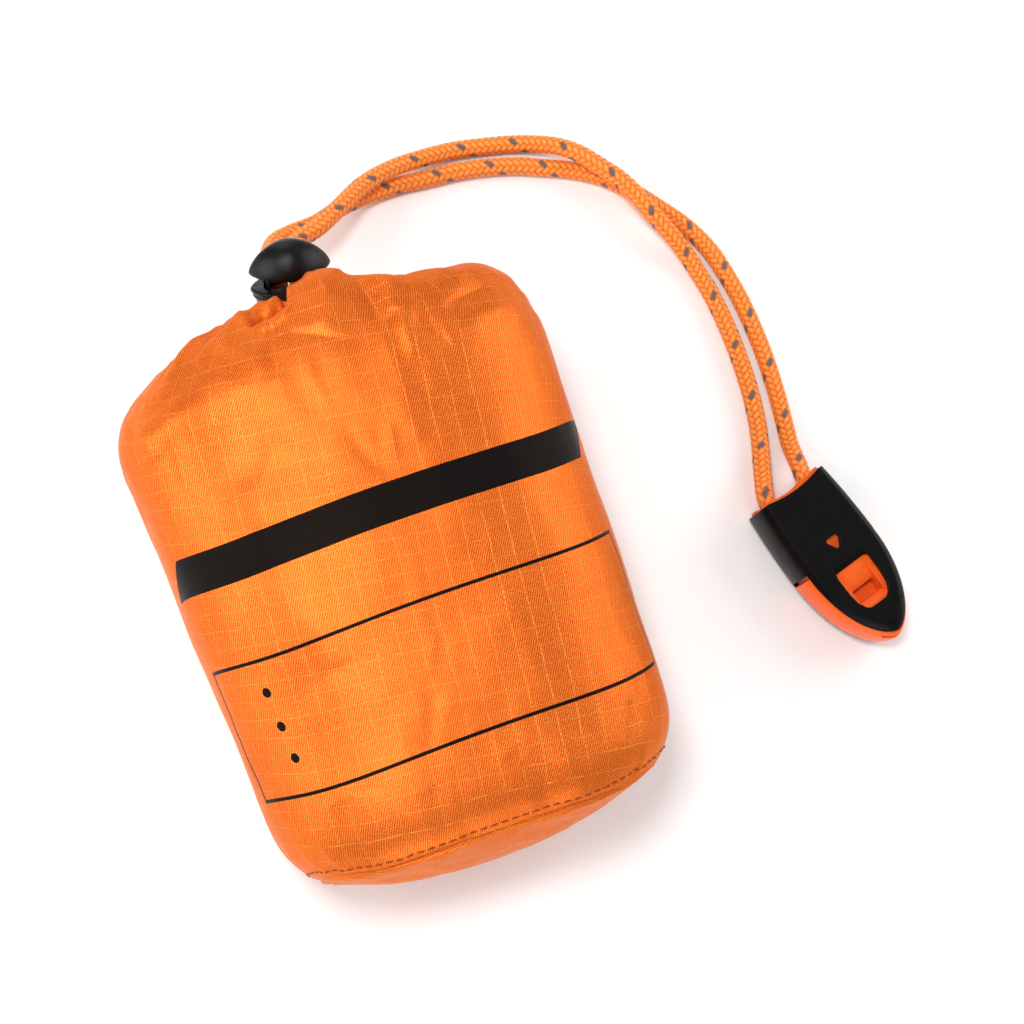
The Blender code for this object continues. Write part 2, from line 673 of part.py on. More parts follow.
def make_whistle_sleeve(black, pivot):
    """The black sleeve: closed sides by the cord, open sides lower down, a window and a vent in each face."""
    right = whistle_side(MOUTH_REACH, SLEEVE_SIDE_END, 5, 0.0) + tip_side(SLEEVE_SIDE_END, 11, 0.0)[1:]
    outline = mirrored(right, -TIP_REACH) + hollow_top(whistle_half_width(MOUTH_REACH), MOUTH_REACH)
    layers = [[(x, y, z) for x, y in drawn_in(outline, side_inset(z), PLATE_INSET)]
              for z in side_heights(0.0, WHISTLE_THICKNESS)]
    sleeve = add_mesh("whistle_sleeve", skin(layers), black, pivot, crease=30)
    beyond = 4.0 * MM
    low = PLATE
    high = WHISTLE_THICKNESS - PLATE
    inner = [(x - SLEEVE_WALL, y) for x, y in whistle_side(MOUTH_REACH, SLEEVE_SIDE_END, 5, 0.0)]
    socket = ([(inner[0][0], MOUTH_REACH + beyond)] + inner + [(WHISTLE_WIDTH, SLEEVE_SIDE_END)]
              + [(WHISTLE_WIDTH, -TIP_REACH - beyond)])
    socket = socket + [(-x, y) for x, y in reversed(socket)]
    half_top = WINDOW_WIDTH_TOP / 2
    half_end = WINDOW_WIDTH_END / 2
    window = [(half_top, WINDOW_TOP_Y), (0.98 * half_top, LIP_EDGE_Y), (half_end, WINDOW_END_Y + 0.9 * MM),
              (0.6 * half_end, WINDOW_END_Y)]
    window = window + [(-x, y) for x, y in reversed(window)]
    through = (-beyond, WHISTLE_THICKNESS + beyond)
    cutters = (("sleeve_socket", prism(socket, low, high)), ("sleeve_window", prism(window, *through)),
               ("sleeve_vent", prism(vent_outline(), *through)))
    for name, shape in cutters:
        cut(sleeve, add_mesh(name, shape, None, pivot))


def airway_profile(middle, outward):
    """The side view of one half's airway: lip ramp, chamber, slot and the passage to the tip."""
    face = WHISTLE_THICKNESS / 2 - PLATE - GAP
    beyond = 0.4 * MM
    chamber_low = DIVIDER / 2
    chamber_high = chamber_low + CHAMBER_HEIGHT
    passage_low = chamber_high
    passage_high = passage_low + AIRWAY_HEIGHT
    profile = ((WINDOW_TOP_Y, face + beyond), (LIP_EDGE_Y, chamber_high + LIP_EDGE),
               (LIP_EDGE_Y + 0.1 * MM, chamber_high), (CHAMBER_TOP_Y, chamber_high),
               (CHAMBER_TOP_Y, chamber_low), (SLOT_END_Y, chamber_low), (SLOT_END_Y, passage_low),
               (-TIP_REACH - beyond, passage_low), (-TIP_REACH - beyond, passage_high),
               (SLOT_END_Y, passage_high), (WINDOW_END_Y, face + beyond))
    return [(y, middle + outward * height) for y, height in profile]


def make_whistle_core(orange, pivot):
    """The orange core: cord post and channel, two sound chambers and the lower flanks."""
    low = PLATE + GAP
    high = WHISTLE_THICKNESS - PLATE - GAP
    shoulder = SLEEVE_SIDE_END - GAP
    top = MOUTH_REACH + CORE_PROUD
    inset = SLEEVE_WALL + GAP
    upper = [(whistle_half_width(y) - inset, min(y, top)) for y in (top, 0.0, shoulder)]
    lower = [(whistle_half_width(shoulder), shoulder)] + tip_side(shoulder, 11, 0.0)[1:]
    outline = mirrored(upper + lower, -TIP_REACH) + hollow_top(upper[0][0], top)
    layers = [[(*(place if place[1] > shoulder else drawn), z)
               for place, drawn in zip(outline, drawn_in(outline, side_inset(z), 0.0))]
              for z in side_heights(low, high)]
    core = add_mesh("whistle_core", skin(layers), orange, pivot, crease=30)
    channel_radius = POST_RADIUS + CORD_DIAMETER + 2 * GAP
    beyond = 3.0 * MM
    arc = [(channel_radius * cos(turn), channel_radius * sin(turn))
           for turn in [-pi * i / 16 for i in range(17)]]
    channel = ([(WHISTLE_WIDTH / 2, top + beyond), (WHISTLE_WIDTH / 2, 0.0)] + arc
               + [(-WHISTLE_WIDTH / 2, 0.0), (-WHISTLE_WIDTH / 2, top + beyond)])
    cord_channel = add_mesh("cord_channel", prism(channel, low + CORE_PLATE, high - CORE_PLATE), None, pivot)
    post = add_mesh("cord_post", prism(disc(POST_RADIUS, 24), low + CORE_PLATE / 2, high - CORE_PLATE / 2),
                    None, pivot)
    cut(core, cord_channel)
    cut(core, post, "UNION")
    middle = WHISTLE_THICKNESS / 2
    for name, outward in (("front_airway", 1), ("back_airway", -1)):
        airway = side_prism(airway_profile(middle, outward), AIRWAY_WIDTH / 2)
        cut(core, add_mesh(name, airway, None, pivot))


def main():
    clear_scene()
    nylon = make_material("orange_nylon", (0.95, 0.29, 0.02), 0.45)
    foil = make_material("foil_film", (0.82, 0.83, 0.85), 0.2, 1.0)
    braid = make_material("orange_braid", (0.96, 0.27, 0.02), 0.6)
    plastic = make_material("black_plastic", (0.02, 0.02, 0.022), 0.45)
    steel = make_material("spring_steel", (0.6, 0.6, 0.62), 0.3, 1.0)
    orange = make_material("orange_plastic", (0.95, 0.2, 0.02), 0.35)
    make_sack_body(nylon)
    make_sack_base(nylon)
    make_hem(nylon)
    make_roll(foil)
    make_drawcord(braid)
    make_lock(plastic, steel)
    make_whistle(plastic, orange)


main()
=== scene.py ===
"""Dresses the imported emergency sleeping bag: ripstop sack, foil roll, braided drawcord, cord lock and
whistle. Lengths are in metres, apart from names that end in MM or mm and the lock's and whistle's own
axes, which are in millimetres."""

from math import ceil, cos, pi, radians, sin, sqrt

import bmesh
import bpy
import numpy as np
from bpy.props import FloatProperty, FloatVectorProperty, IntProperty, PointerProperty
from mathutils import Euler, Matrix, Vector, noise


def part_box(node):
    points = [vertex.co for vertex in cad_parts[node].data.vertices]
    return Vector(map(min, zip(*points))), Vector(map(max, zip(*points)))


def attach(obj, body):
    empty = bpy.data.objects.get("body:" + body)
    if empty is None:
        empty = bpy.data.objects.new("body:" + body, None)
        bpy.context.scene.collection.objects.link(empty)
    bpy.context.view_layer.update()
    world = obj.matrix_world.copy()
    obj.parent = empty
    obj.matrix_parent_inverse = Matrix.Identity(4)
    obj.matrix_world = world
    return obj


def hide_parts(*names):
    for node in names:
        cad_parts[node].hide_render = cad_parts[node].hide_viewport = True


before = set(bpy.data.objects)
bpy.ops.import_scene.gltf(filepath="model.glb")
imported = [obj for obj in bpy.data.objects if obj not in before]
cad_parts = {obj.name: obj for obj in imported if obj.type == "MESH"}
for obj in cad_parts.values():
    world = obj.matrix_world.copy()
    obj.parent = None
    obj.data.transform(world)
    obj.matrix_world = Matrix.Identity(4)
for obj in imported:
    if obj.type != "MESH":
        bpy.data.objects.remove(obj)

bl_info = {
    "name": "Emergency Sleeping Bag",
    "version": (1, 0, 0),
    "blender": (4, 5, 0),
    "location": "3D View > Sidebar > Sleeping Bag",
    "description": "Builds the cloth, cord and finishes of a packed emergency sleeping bag",
    "category": "Object",
}

MM = 0.001

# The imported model's own measures, which the pieces here repeat
CORD_DIAMETER = 4.0 * MM
CORD_RADIUS = CORD_DIAMETER / 2
STRAND_SPACING = 4.4 * MM
SHOULDER_WIDTH = 91.4 * MM
BASE_WIDTH = 82.8 * MM
SACK_DEPTH = 58.0 * MM
SECTION_POWER = 0.72
SAG = 1.5 * MM
SEAM_Y = -57.0 * MM
BASE_BULGE = 4.3 * MM
CORNER_RISE = 7.0 * MM
CORNER_POWER = 5
CORNER_REACH = 17.0 * MM
SHOULDER_Y = 36.0 * MM
MOUTH_CENTRE = Vector((-5.1, 47.4, 35.96)) * MM
RING_RADIUS = 7.5 * MM
HEM_THICKNESS = 6.8 * MM
LOOP_RADIUS = RING_RADIUS + HEM_THICKNESS / 2 + 1.1 * MM
# The first ten values are the result of a least squares fit to the outline in the photo, and the other eight
# were chosen
NECK_REACH_MM = (28.0, 26.7, 23.8, 22.3, 27.0, 27.0, 24.0, 23.4, 21.4,
                 22.4, 20.5, 18.5, 17.5, 17.0, 17.0, 18.5, 21.0, 25.0)
RIM_SHARE = 0.85
FOIL_LAYERS = 4.1 * MM
ROLL_TURNS = 5.25
ROLL_SHARE = 0.955
LOCK_ROTATION = Euler((radians(-44), 0, radians(-8.5))).to_matrix()
LOCK_ACROSS, LOCK_OUT, LOCK_UP = (LOCK_ROTATION.col[i].copy() for i in range(3))
LOCK_DEPTH = 11.6 * MM
RING_TO_LOCK = HEM_THICKNESS / 2 + 4.5 * MM / 2 + LOCK_DEPTH / 2
LOCK_CENTRE = MOUTH_CENTRE + LOCK_UP * RING_RADIUS + LOCK_OUT * RING_TO_LOCK
LOCK_STRAIGHT = LOCK_DEPTH / 2 + 12.4 * MM
WHISTLE_PLACE = Vector((93.5, -14.6, 0)) * MM
WHISTLE_TURN = radians(16.7)
WHISTLE_MIDDLE = 6.7 * MM
WHISTLE_MOUTH = 6.4 * MM
BIGHT_RADIUS = 5.5 * MM
HALF_DEPTH = SACK_DEPTH / 2 + SAG / 2
MIDDLE_Z = HALF_DEPTH - SAG

# Routes of the two strands from the lock to the whistle: the imported model's own points, in millimetres.
# Places that were measured along the strands in the photo were projected to give them. 17 of the 49 points are
# still where the projection put them in X and Y. The others were moved, and nearly all heights set one by one.
FRONT_ROUTE_MM = (
    (2.0, 75.8, 18.4), (5.0, 78.1, 16.5), (9.8, 80.0, 14.8), (16.4, 84.1, 11.9), (23.8, 88.7, 8.7),
    (31.6, 91.4, 6.1), (39.5, 92.6, 3.9), (47.3, 92.9, 2.4), (54.8, 91.9, 2.1), (62.1, 90.4, 2.1),
    (67.0, 88.6, 2.8), (71.2, 86.0, 4.5), (74.8, 82.4, 6.1), (78.2, 77.8, 6.9), (81.6, 73.3, 7.0),
    (84.1, 68.4, 6.9), (86.2, 63.3, 6.4), (88.6, 58.6, 5.2), (90.9, 54.1, 3.4), (92.5, 49.1, 2.2),
    (93.9, 42.0, 2.1), (94.6, 33.1, 2.1), (94.5, 22.3, 2.1), (93.6, 13.3, 2.1), (92.3, 6.9, 2.1),
)
BACK_ROUTE_MM = (
    (-2.7, 76.5, 17.3), (0.4, 80.1, 13.4), (5.2, 81.8, 10.9), (10.4, 82.9, 9.0), (18.4, 86.3, 5.2),
    (25.6, 88.1, 2.9), (33.0, 88.6, 2.1), (39.0, 88.2, 2.1), (46.3, 87.9, 2.1), (53.4, 86.9, 2.1),
    (60.5, 85.2, 2.1), (67.0, 82.8, 2.1), (73.2, 80.3, 2.1), (79.5, 76.5, 2.1), (84.8, 71.4, 2.1),
    (89.5, 65.6, 2.1), (94.0, 59.5, 2.1), (97.3, 52.7, 2.1), (99.1, 45.2, 2.1), (100.2, 37.4, 2.1),
    (100.6, 26.1, 2.1), (100.1, 16.5, 2.1), (99.2, 8.5, 2.1), (98.3, 2.6, 2.6),
)

# Braid of the drawcord: sixteen carriers, each over two and under two
CARRIERS = 16
BRAID_LAY = 12.6 * MM
BRAID_SIDES = 40
BRAID_STEP = 0.26 * MM

# Cloth of the sack: its grid, the row that the base stitches follow, and how far the seam is drawn in
SACK_COLUMNS = 330
BODY_ROWS = 150
NECK_ROWS = 110
CLOSING_ROWS = 16
SEAM_ROW = 3
SEAM_SCALE = 0.875
GIRTH_MM = 262.0
LAP_MM = 5.0
CLOTH_THICKNESS = 0.25 * MM
GRAIN_TURN = 6.5
BASE_GRAIN_TURN = 45.0

# The base panel: its grid, and the share of its width from which its rim turns up into the seam
BASE_ROWS = 56
RIM_ROWS = 14
BASE_COLUMNS = 240
TURN_UP_FROM = 0.985
TURN_UP = 1.2 * MM

# One stitch of the base seam
STITCH_HALF = 0.8 * MM
STITCH_RADIUS = 0.15 * MM
STITCH_RISE = 0.12 * MM
STITCH_RINGS = 7
STITCH_SIDES = 8

# The gathered hem: its grid, and the angle that its two ends leave open for the cord
HEM_STATIONS = 260
HEM_SIDES = 30
HEM_GAP = radians(50)

# Foil roll: its grid, the gap between its layers, and the lines that close each end of the spiral
ROLL_ROWS = 44
STEPS_PER_TURN = 52
ROLL_INSET = 1.1 * MM
LAYER_GAP = 0.3 * MM
END_STRANDS = 9

# Camera, fitted to the photo, and the soft lights: name, place, size, and share of the key light's power
LENS_MM = 67.18
SENSOR_MM = 36
CAMERA_PLACE = Vector((-0.0548, -0.0552, 0.4163))
CAMERA_RIGHT = Vector((0.9301, -0.3385, 0.1423))
CAMERA_BACK = Vector((-0.2019, -0.1478, 0.9682))
SOFTBOXES = (
    ("left_softbox", (-0.60, 0.15, 0.33), 0.5, 0.7),
    ("right_softbox", (0.66, 0.10, 0.33), 0.5, 0.55),
    ("back_softbox", (0.05, 0.75, 0.36), 0.5, 0.3),
    ("front_softbox", (-0.15, -0.75, 0.33), 0.5, 0.6),
    ("top_softbox", (-0.115, 0.085, 0.62), 0.12, 0.45),
)
FLOOR_HALF = 1.5


class SleepingBagLooks(bpy.types.PropertyGroup):
    """Sizes and colours that a user would change."""

    cloth_colour: FloatVectorProperty(
        name="Cloth", description="Colour of the ripstop nylon", subtype="COLOR",
        default=(0.755, 0.134, 0.013), min=0, max=1)
    print_colour: FloatVectorProperty(
        name="Print", description="Colour of the printed band and frame", subtype="COLOR",
        default=(0.0042, 0.0040, 0.0044), min=0, max=1)
    cord_colour: FloatVectorProperty(
        name="Cord", description="Colour of the drawcord's yarn", subtype="COLOR",
        default=(0.97, 0.235, 0.024), min=0, max=1)
    fleck_colour: FloatVectorProperty(
        name="Flecks", description="Colour of the reflective tracer in the cord", subtype="COLOR",
        default=(0.055, 0.055, 0.06), min=0, max=1)
    plastic_colour: FloatVectorProperty(
        name="Black plastic", description="Colour of the cord lock and the whistle's sleeve", subtype="COLOR",
        default=(0.0028, 0.0025, 0.0026), min=0, max=1)
    core_colour: FloatVectorProperty(
        name="Whistle core", description="Colour of the whistle's orange core", subtype="COLOR",
        default=(0.90, 0.115, 0.012), min=0, max=1)
    ripstop_pitch: FloatProperty(
        name="Ripstop pitch", description="Distance between the cloth's thick threads, in millimetres",
        default=3.7, min=2, max=12)
    weave_pitch: FloatProperty(
        name="Weave pitch", description="Distance between the cloth's fine threads, in millimetres",
        default=0.52, min=0.2, max=2)
    fold_depth: FloatProperty(
        name="Fold depth", description="Height of the cloth's folds, as a share of the real ones",
        subtype="FACTOR", default=1.0, min=0, max=2)
    key_power: FloatProperty(
        name="Key light", description="Power of the large soft light", unit="POWER", default=4.0, min=0)
    sky_strength: FloatProperty(
        name="Room light", description="Brightness of the even light from all round", default=0.36, min=0)
    stitch_count: IntProperty(
        name="Base stitches", description="Number of stitches round the base seam",
        default=104, min=20, max=300)


def looks():
    return bpy.context.scene.sleeping_bag_looks


# Materials

class Socket:
    """A node's output. Sums and products of sockets and numbers add their Math nodes."""

    def __init__(self, finish, source):
        self.finish = finish
        self.source = source

    def then(self, operation, *others):
        """This value and any others through one Math node."""
        return self.finish.maths(operation, self, *others)

    def __add__(self, other):
        return self.then("ADD", other)

    def __radd__(self, other):
        return self.finish.maths("ADD", other, self)

    def __sub__(self, other):
        return self.then("SUBTRACT", other)

    def __rsub__(self, other):
        return self.finish.maths("SUBTRACT", other, self)

    def __mul__(self, other):
        return self.then("MULTIPLY", other)

    def __rmul__(self, other):
        return self.finish.maths("MULTIPLY", other, self)

    def __pow__(self, other):
        return self.then("POWER", other)

    def __gt__(self, other):
        return self.then("GREATER_THAN", other)

    def __lt__(self, other):
        return self.then("LESS_THAN", other)


class Finish:
    """A material in the making: its node tree, and one way to add a node to it."""

    def __init__(self, name, **constants):
        self.material = bpy.data.materials.new(name)
        self.material.use_nodes = True
        self.tree = self.material.node_tree
        self.shader = self.tree.nodes["Principled BSDF"]
        self.count = 0
        for key, value in constants.items():
            self.shader.inputs[key.replace("_", " ")].default_value = value

    def feed(self, target, value):
        if isinstance(value, Socket):
            self.tree.links.new(value.source, target)
        elif hasattr(value, "__len__") and target.type == "RGBA" and len(value) == 3:
            target.default_value = (*value, 1.0)
        else:
            target.default_value = value

    def add(self, kind, settings=None, inputs=None, output=0):
        node = self.tree.nodes.new("ShaderNode" + kind)
        node.location = (-240 * (1 + self.count // 6), 300 - 180 * (self.count % 6))
        self.count += 1
        for key, value in (settings or {}).items():
            if key == "stops":
                ramp = node.color_ramp.elements
                while len(ramp) < len(value):
                    ramp.new(0.5)
                for element, (place, colour) in zip(ramp, value):
                    element.position = place
                    element.color = (*colour, 1.0)
            else:
                setattr(node, key, value)
        for key, value in (inputs or {}).items():
            self.feed(node.inputs[key], value)
        return Socket(self, node.outputs[output])

    def maths(self, operation, *values):
        return self.add("Math", {"operation": operation}, dict(enumerate(values)))

    def attribute(self, name):
        return self.add("Attribute", {"attribute_name": name}, output="Vector")

    def split(self, vector):
        return [self.add("SeparateXYZ", None, {0: vector}, axis) for axis in range(3)]

    def join(self, x, y, z=0.0):
        return self.add("CombineXYZ", None, {0: x, 1: y, 2: z})

    def scaled(self, vector, factors):
        return self.add("VectorMath", {"operation": "MULTIPLY"}, {0: vector, 1: factors})

    def noise(self, vector, scale, detail=2.0, roughness=0.5):
        return self.add("TexNoise", None, {"Vector": vector, "Scale": scale, "Detail": detail,
                                           "Roughness": roughness})

    def ramp(self, value, low, high):
        """0 below low, 1 above high, and smooth between them."""
        return self.add("MapRange", {"interpolation_type": "SMOOTHSTEP", "clamp": True},
                        {"Value": value, "From Min": low, "From Max": high, "To Min": 0.0, "To Max": 1.0})

    def mix(self, share, low, high):
        return self.add("Mix", {"data_type": "RGBA"}, {0: share, 6: low, 7: high}, 2)

    def position_mm(self):
        place = self.add("TexCoord", None, None, "Object")
        return self.scaled(place, (1000.0, 1000.0, 1000.0))

    def bump(self, height_mm, strength):
        return self.add("Bump", None, {"Height": height_mm, "Distance": MM, "Strength": strength})

    def finish(self, colour=None, roughness=None, normal=None):
        for name, value in (("Base Color", colour), ("Roughness", roughness), ("Normal", normal)):
            if value is not None:
                self.feed(self.shader.inputs[name], value)
        return self.material


def tint(colour, factors, added=0.0):
    """A colour with its channels multiplied by one factor or by three, and none over 1."""
    return np.minimum(np.array(colour) * factors + added, 1).tolist()


# Where the print lies on the cloth, in millimetres across from the front's middle and up from the seam.
# The band is its height, its width and its slope, and a frame line is its height and its slope.
PRINT_ENDS_MM = (-53.0, 51.3)
PRINT_SLANT = 0.95
BAND_MM = (66.8, 7.8, 0.025)
FRAME_LINES_MM = ((46.9, 0.0185), (19.4, 0.009))
FRAME_ENDS_MM = (-55.0, 49.4)
FRAME_STROKE_MM = 0.72
DOTS_MM = ((-39.9, 39.8), (-39.9, 32.8), (-39.7, 26.3))
DOT_RADIUS_MM = 1.0
NYLON_METAL = 0.45


def nylon_finish(name, grain_turn, printed):
    """Ripstop nylon: a fine weave with twill ribs, painted shade in its hollows and a painted highlight on its
    raised threads, broken lines of thick thread made lighter with painted sheen, and the print.

    The gloss of dyed nylon has the fibres' own colour, so the cloth is partly metallic and the print isn't.
    """
    cloth = Finish(name, Metallic=NYLON_METAL, Specular_IOR_Level=0.05, Specular_Tint=(1.0, 0.6, 0.3, 1.0))
    place = cloth.attribute("cloth_mm")
    u, v, _ = cloth.split(place)
    wobble = (cloth.noise(place, 0.11, 1.0) - 0.5) * 1.1
    turn = radians(grain_turn)
    a = u * cos(turn) - v * sin(turn) + wobble
    b = u * sin(turn) + v * cos(turn) + wobble
    pitch = looks().ripstop_pitch
    fine = 2 * pi / looks().weave_pitch
    gaps_a = cloth.noise(cloth.join(a * 1.1, b * 0.4, 7.0), 1.0, 3.0, 0.6)
    gaps_b = cloth.noise(cloth.join(a * 0.22, b * 1.1), 1.0, 3.0, 0.6)
    dashes = (b * (fine / 2)).then("SINE") * 0.3 + 0.7
    lines_a = 1 - cloth.ramp(a.then("PINGPONG", pitch * 0.65), 0.02, 0.13)
    lines_b = 1 - cloth.ramp(b.then("PINGPONG", pitch / 2), 0.02, 0.11)
    lines_a = lines_a * cloth.ramp(gaps_a, 0.32, 0.52) * dashes
    lines_b = lines_b * cloth.ramp(gaps_b, 0.34, 0.6)
    lines = lines_a.then("MAXIMUM", lines_b)
    rib = (a * fine - b * (fine / 2)).then("SINE")
    plain = ((a + b) * fine).then("SINE")
    thread = cloth.noise(cloth.join(a * 2.5, b * 2.5), 1.0, 2.0, 0.6)
    weave = (rib + plain) * 0.25 + thread
    clouds = cloth.noise(place, 0.045, 2.0, 0.55)
    base = looks().cloth_colour
    deep = tint(base, (0.90, 0.78, 0.7))
    # Painted shade for the hollows of the weave, and a painted yellow highlight for its raised threads
    weave_shade = tint(base, (0.64, 0.22, 0.2))
    light = tint(base, (1.14, 2.4, 5.0))
    colour = cloth.mix(cloth.ramp(clouds, 0.3, 0.7), deep, base)
    colour = cloth.mix(cloth.ramp(weave, 0.1, 0.45), weave_shade, colour)
    colour = cloth.mix(cloth.ramp(weave, 0.55, 0.95), colour, light)
    # The ripstop lines are partly thick thread, with their own bump and roughness, and partly painted sheen,
    # mixed towards the painted highlight
    colour = cloth.mix(lines * 0.7, colour, light)
    roughness = 0.33 - lines * 0.06 + (thread - 0.5) * 0.1
    height = weave * 0.05 + lines * 0.06
    if printed:
        ink = print_mask(u, v)
        black = looks().print_colour
        # The ink is painted lighter on the weave's raised threads, as a painted highlight
        colour = cloth.mix(ink, colour, cloth.mix(cloth.ramp(weave, 0.4, 1.0), black, tint(black, 2.0)))
        roughness = roughness + ink * 0.04
        cloth.feed(cloth.shader.inputs["Metallic"], NYLON_METAL * (1 - ink))
    return cloth.finish(colour, roughness, cloth.bump(height, 0.6))


def print_mask(u, v):
    """The printed band, the frame under it and its three dots."""
    level, width, slope = BAND_MM
    rise = v - u * slope
    band = (rise > level - width / 2) * (rise < level + width / 2)
    along = u - (v - level) * PRINT_SLANT
    band = band * (along > PRINT_ENDS_MM[0]) * (along < PRINT_ENDS_MM[1])
    half = FRAME_STROKE_MM / 2
    inside = (u > FRAME_ENDS_MM[0] - half) * (u < FRAME_ENDS_MM[1] + half)
    shapes = [band]
    top, bottom = [v - u * slope for _, slope in FRAME_LINES_MM]
    for line, (level, _) in zip((top, bottom), FRAME_LINES_MM):
        shapes.append(line.then("COMPARE", level, half) * inside)
    between = (top < FRAME_LINES_MM[0][0] + half) * (bottom > FRAME_LINES_MM[1][0] - half)
    for end in FRAME_ENDS_MM:
        shapes.append(u.then("COMPARE", end, half) * between)
    for x, y in DOTS_MM:
        shapes.append(((u - x) ** 2 + (v - y) ** 2) < DOT_RADIUS_MM ** 2)
    total = shapes[0]
    for shape in shapes[1:]:
        total = total.then("MAXIMUM", shape)
    return total


def braid_finish():
    """The drawcord's yarn: raised floats with painted shade between them and a painted highlight on their
    crests, and grey reflective flecks.
    """
    yarn = Finish("orange_braid", Metallic=0.0, Specular_IOR_Level=0.35, Sheen_Weight=0.08,
                  Sheen_Roughness=0.5)
    height, fleck, across = yarn.split(yarn.attribute("braid"))
    place = yarn.position_mm()
    fibres = (across * 31.0).then("SINE")
    fuzz = yarn.noise(place, 3.2, 3.0, 0.6)
    base = looks().cord_colour
    # Painted shade in the hollows between the floats, and a painted highlight on their crests
    deep = tint(base, (0.68, 0.38, 0.4))
    light = tint(base, (1.08, 1.8, 2.6))
    colour = yarn.mix(yarn.ramp(height, 0.2, 0.7), deep, base)
    colour = yarn.mix(yarn.ramp(height, 0.55, 1.0) * (0.5 + fuzz * 0.5), colour, light)
    grey = looks().fleck_colour
    colour = yarn.mix(fleck * 0.96, colour, yarn.mix(fuzz, grey, tint(grey, 2.6)))
    roughness = 0.62 - fleck * 0.2 + (fuzz - 0.5) * 0.15
    return yarn.finish(colour, roughness, yarn.bump(fibres * 0.05 + fuzz * 0.12, 0.5))


def plastic_finish(name, base, grain_mm, grain_height, roughness, gloss, dust=0.25, seam=False):
    """Moulded plastic with a spark-eroded grain, faint flow marks, and handling wear on it."""
    plastic = Finish(name, Metallic=0.0, Specular_IOR_Level=gloss)
    place = plastic.position_mm()
    grain = plastic.noise(place, 1.0 / grain_mm, 3.0, 0.65)
    coarse = plastic.noise(place, 0.18, 2.0)
    specks = plastic.ramp(plastic.noise(place, 2.3, 1.0), 0.72, 0.76)
    colour = plastic.mix(coarse * 0.5, base, tint(base, 1.5, 0.001))
    colour = plastic.mix(specks * dust, colour, tint(base, 2.0, 0.015))
    rough = roughness + (grain - 0.5) * 0.22 + (coarse - 0.5) * 0.12
    height = grain * grain_height
    if seam:
        local = plastic.add("VectorRotate", {"rotation_type": "EULER_XYZ", "invert": True}, {
            "Vector": place, "Center": tuple(LOCK_CENTRE / MM), "Rotation": tuple(LOCK_ROTATION.to_euler())})
        _, depth, _ = plastic.split(plastic.add("VectorMath", {"operation": "SUBTRACT"},
                                                {0: local, 1: tuple(LOCK_CENTRE / MM)}))
        parting = 1 - plastic.ramp(depth.then("ABSOLUTE"), 0.05, 0.2)
        height = height - parting * 0.1
    return plastic.finish(colour, rough, plastic.bump(height, 0.8))


def foil_finish():
    """Metallised film with fine creases, and the edges of its many layers at the ends of the roll."""
    film = Finish("foil_film", Specular_IOR_Level=0.5)
    place = film.position_mm()
    inset, end, _ = film.split(film.attribute("film"))
    creases = film.add("TexVoronoi", {"feature": "DISTANCE_TO_EDGE"}, {"Vector": place, "Scale": 0.32})
    small = film.add("TexVoronoi", {"feature": "DISTANCE_TO_EDGE"}, {"Vector": place, "Scale": 1.1})
    edges = (inset * 44.0).then("SINE")
    colour = film.mix(film.noise(place, 0.1, 3.0), (0.60, 0.61, 0.63), (0.86, 0.87, 0.89))
    roughness = 0.16 + film.noise(place, 0.6, 3.0) * 0.16 + end * 0.2
    film.feed(film.shader.inputs["Metallic"], 1 - end * 0.25)
    height = film.ramp(creases, 0.0, 0.4) * 0.4 + film.ramp(small, 0.0, 0.3) * 0.12 + edges * end * 0.12
    return film.finish(colour, roughness, film.bump(height, 0.8))


def steel_finish():
    """Bright spring wire with lengthwise drawing marks."""
    steel = Finish("spring_steel", Metallic=1.0)
    marks = steel.noise(steel.scaled(steel.position_mm(), (6.0, 1.0, 6.0)), 1.5, 3.0)
    return steel.finish(steel.mix(marks, (0.42, 0.42, 0.44), (0.66, 0.66, 0.68)), 0.2 + marks * 0.22,
                        steel.bump(marks * 0.02, 0.5))


def thread_finish():
    """Sewing thread: two twisted plies in a deeper orange than the cloth."""
    thread = Finish("orange_thread", Metallic=0.0, Specular_IOR_Level=0.2)
    x, y, z = thread.split(thread.position_mm())
    twist = ((x + y + z) * 9.0).then("SINE")
    base = looks().cloth_colour
    return thread.finish(thread.mix(twist * 0.5 + 0.5, tint(base, 0.3), tint(base, 0.5)),
                         0.5 + twist * 0.08, thread.bump(twist * 0.05, 0.6))


def floor_finish():
    """Plain pale paper."""
    paper = Finish("pale_paper", Metallic=0.0)
    tooth = paper.noise(paper.position_mm(), 0.8, 2.0)
    return paper.finish(paper.mix(tooth, (0.94, 0.94, 0.94), (0.97, 0.97, 0.97)), 0.75 + tooth * 0.1,
                        paper.bump(tooth * 0.02, 0.3))


# Mesh tools

def add_object(name, vertices, faces, material, attributes=None):
    """A smooth object with one material, and with vectors kept at its points under their names."""
    mesh = bpy.data.meshes.new(name)
    mesh.from_pydata(vertices, [], faces)
    for key, values in (attributes or {}).items():
        layer = mesh.attributes.new(key, "FLOAT_VECTOR", "POINT")
        layer.data.foreach_set("vector", np.asarray(values, np.float32).reshape(-1))
    mesh.materials.append(material)
    mesh.shade_smooth()
    made = bpy.data.objects.new(name, mesh)
    bpy.context.scene.collection.objects.link(made)
    return made


def grid_faces(rows, columns, wrap, caps=False):
    """The faces over a grid of points. wrap joins the last column to the first."""
    index = np.arange(rows * columns).reshape(rows, columns)
    left, right = (index, np.roll(index, -1, axis=1)) if wrap else (index[:, :-1], index[:, 1:])
    faces = np.stack([left[:-1], right[:-1], right[1:], left[1:]], axis=-1).reshape(-1, 4).tolist()
    if caps:
        faces += [index[0][::-1].tolist(), index[-1].tolist()]
    return faces


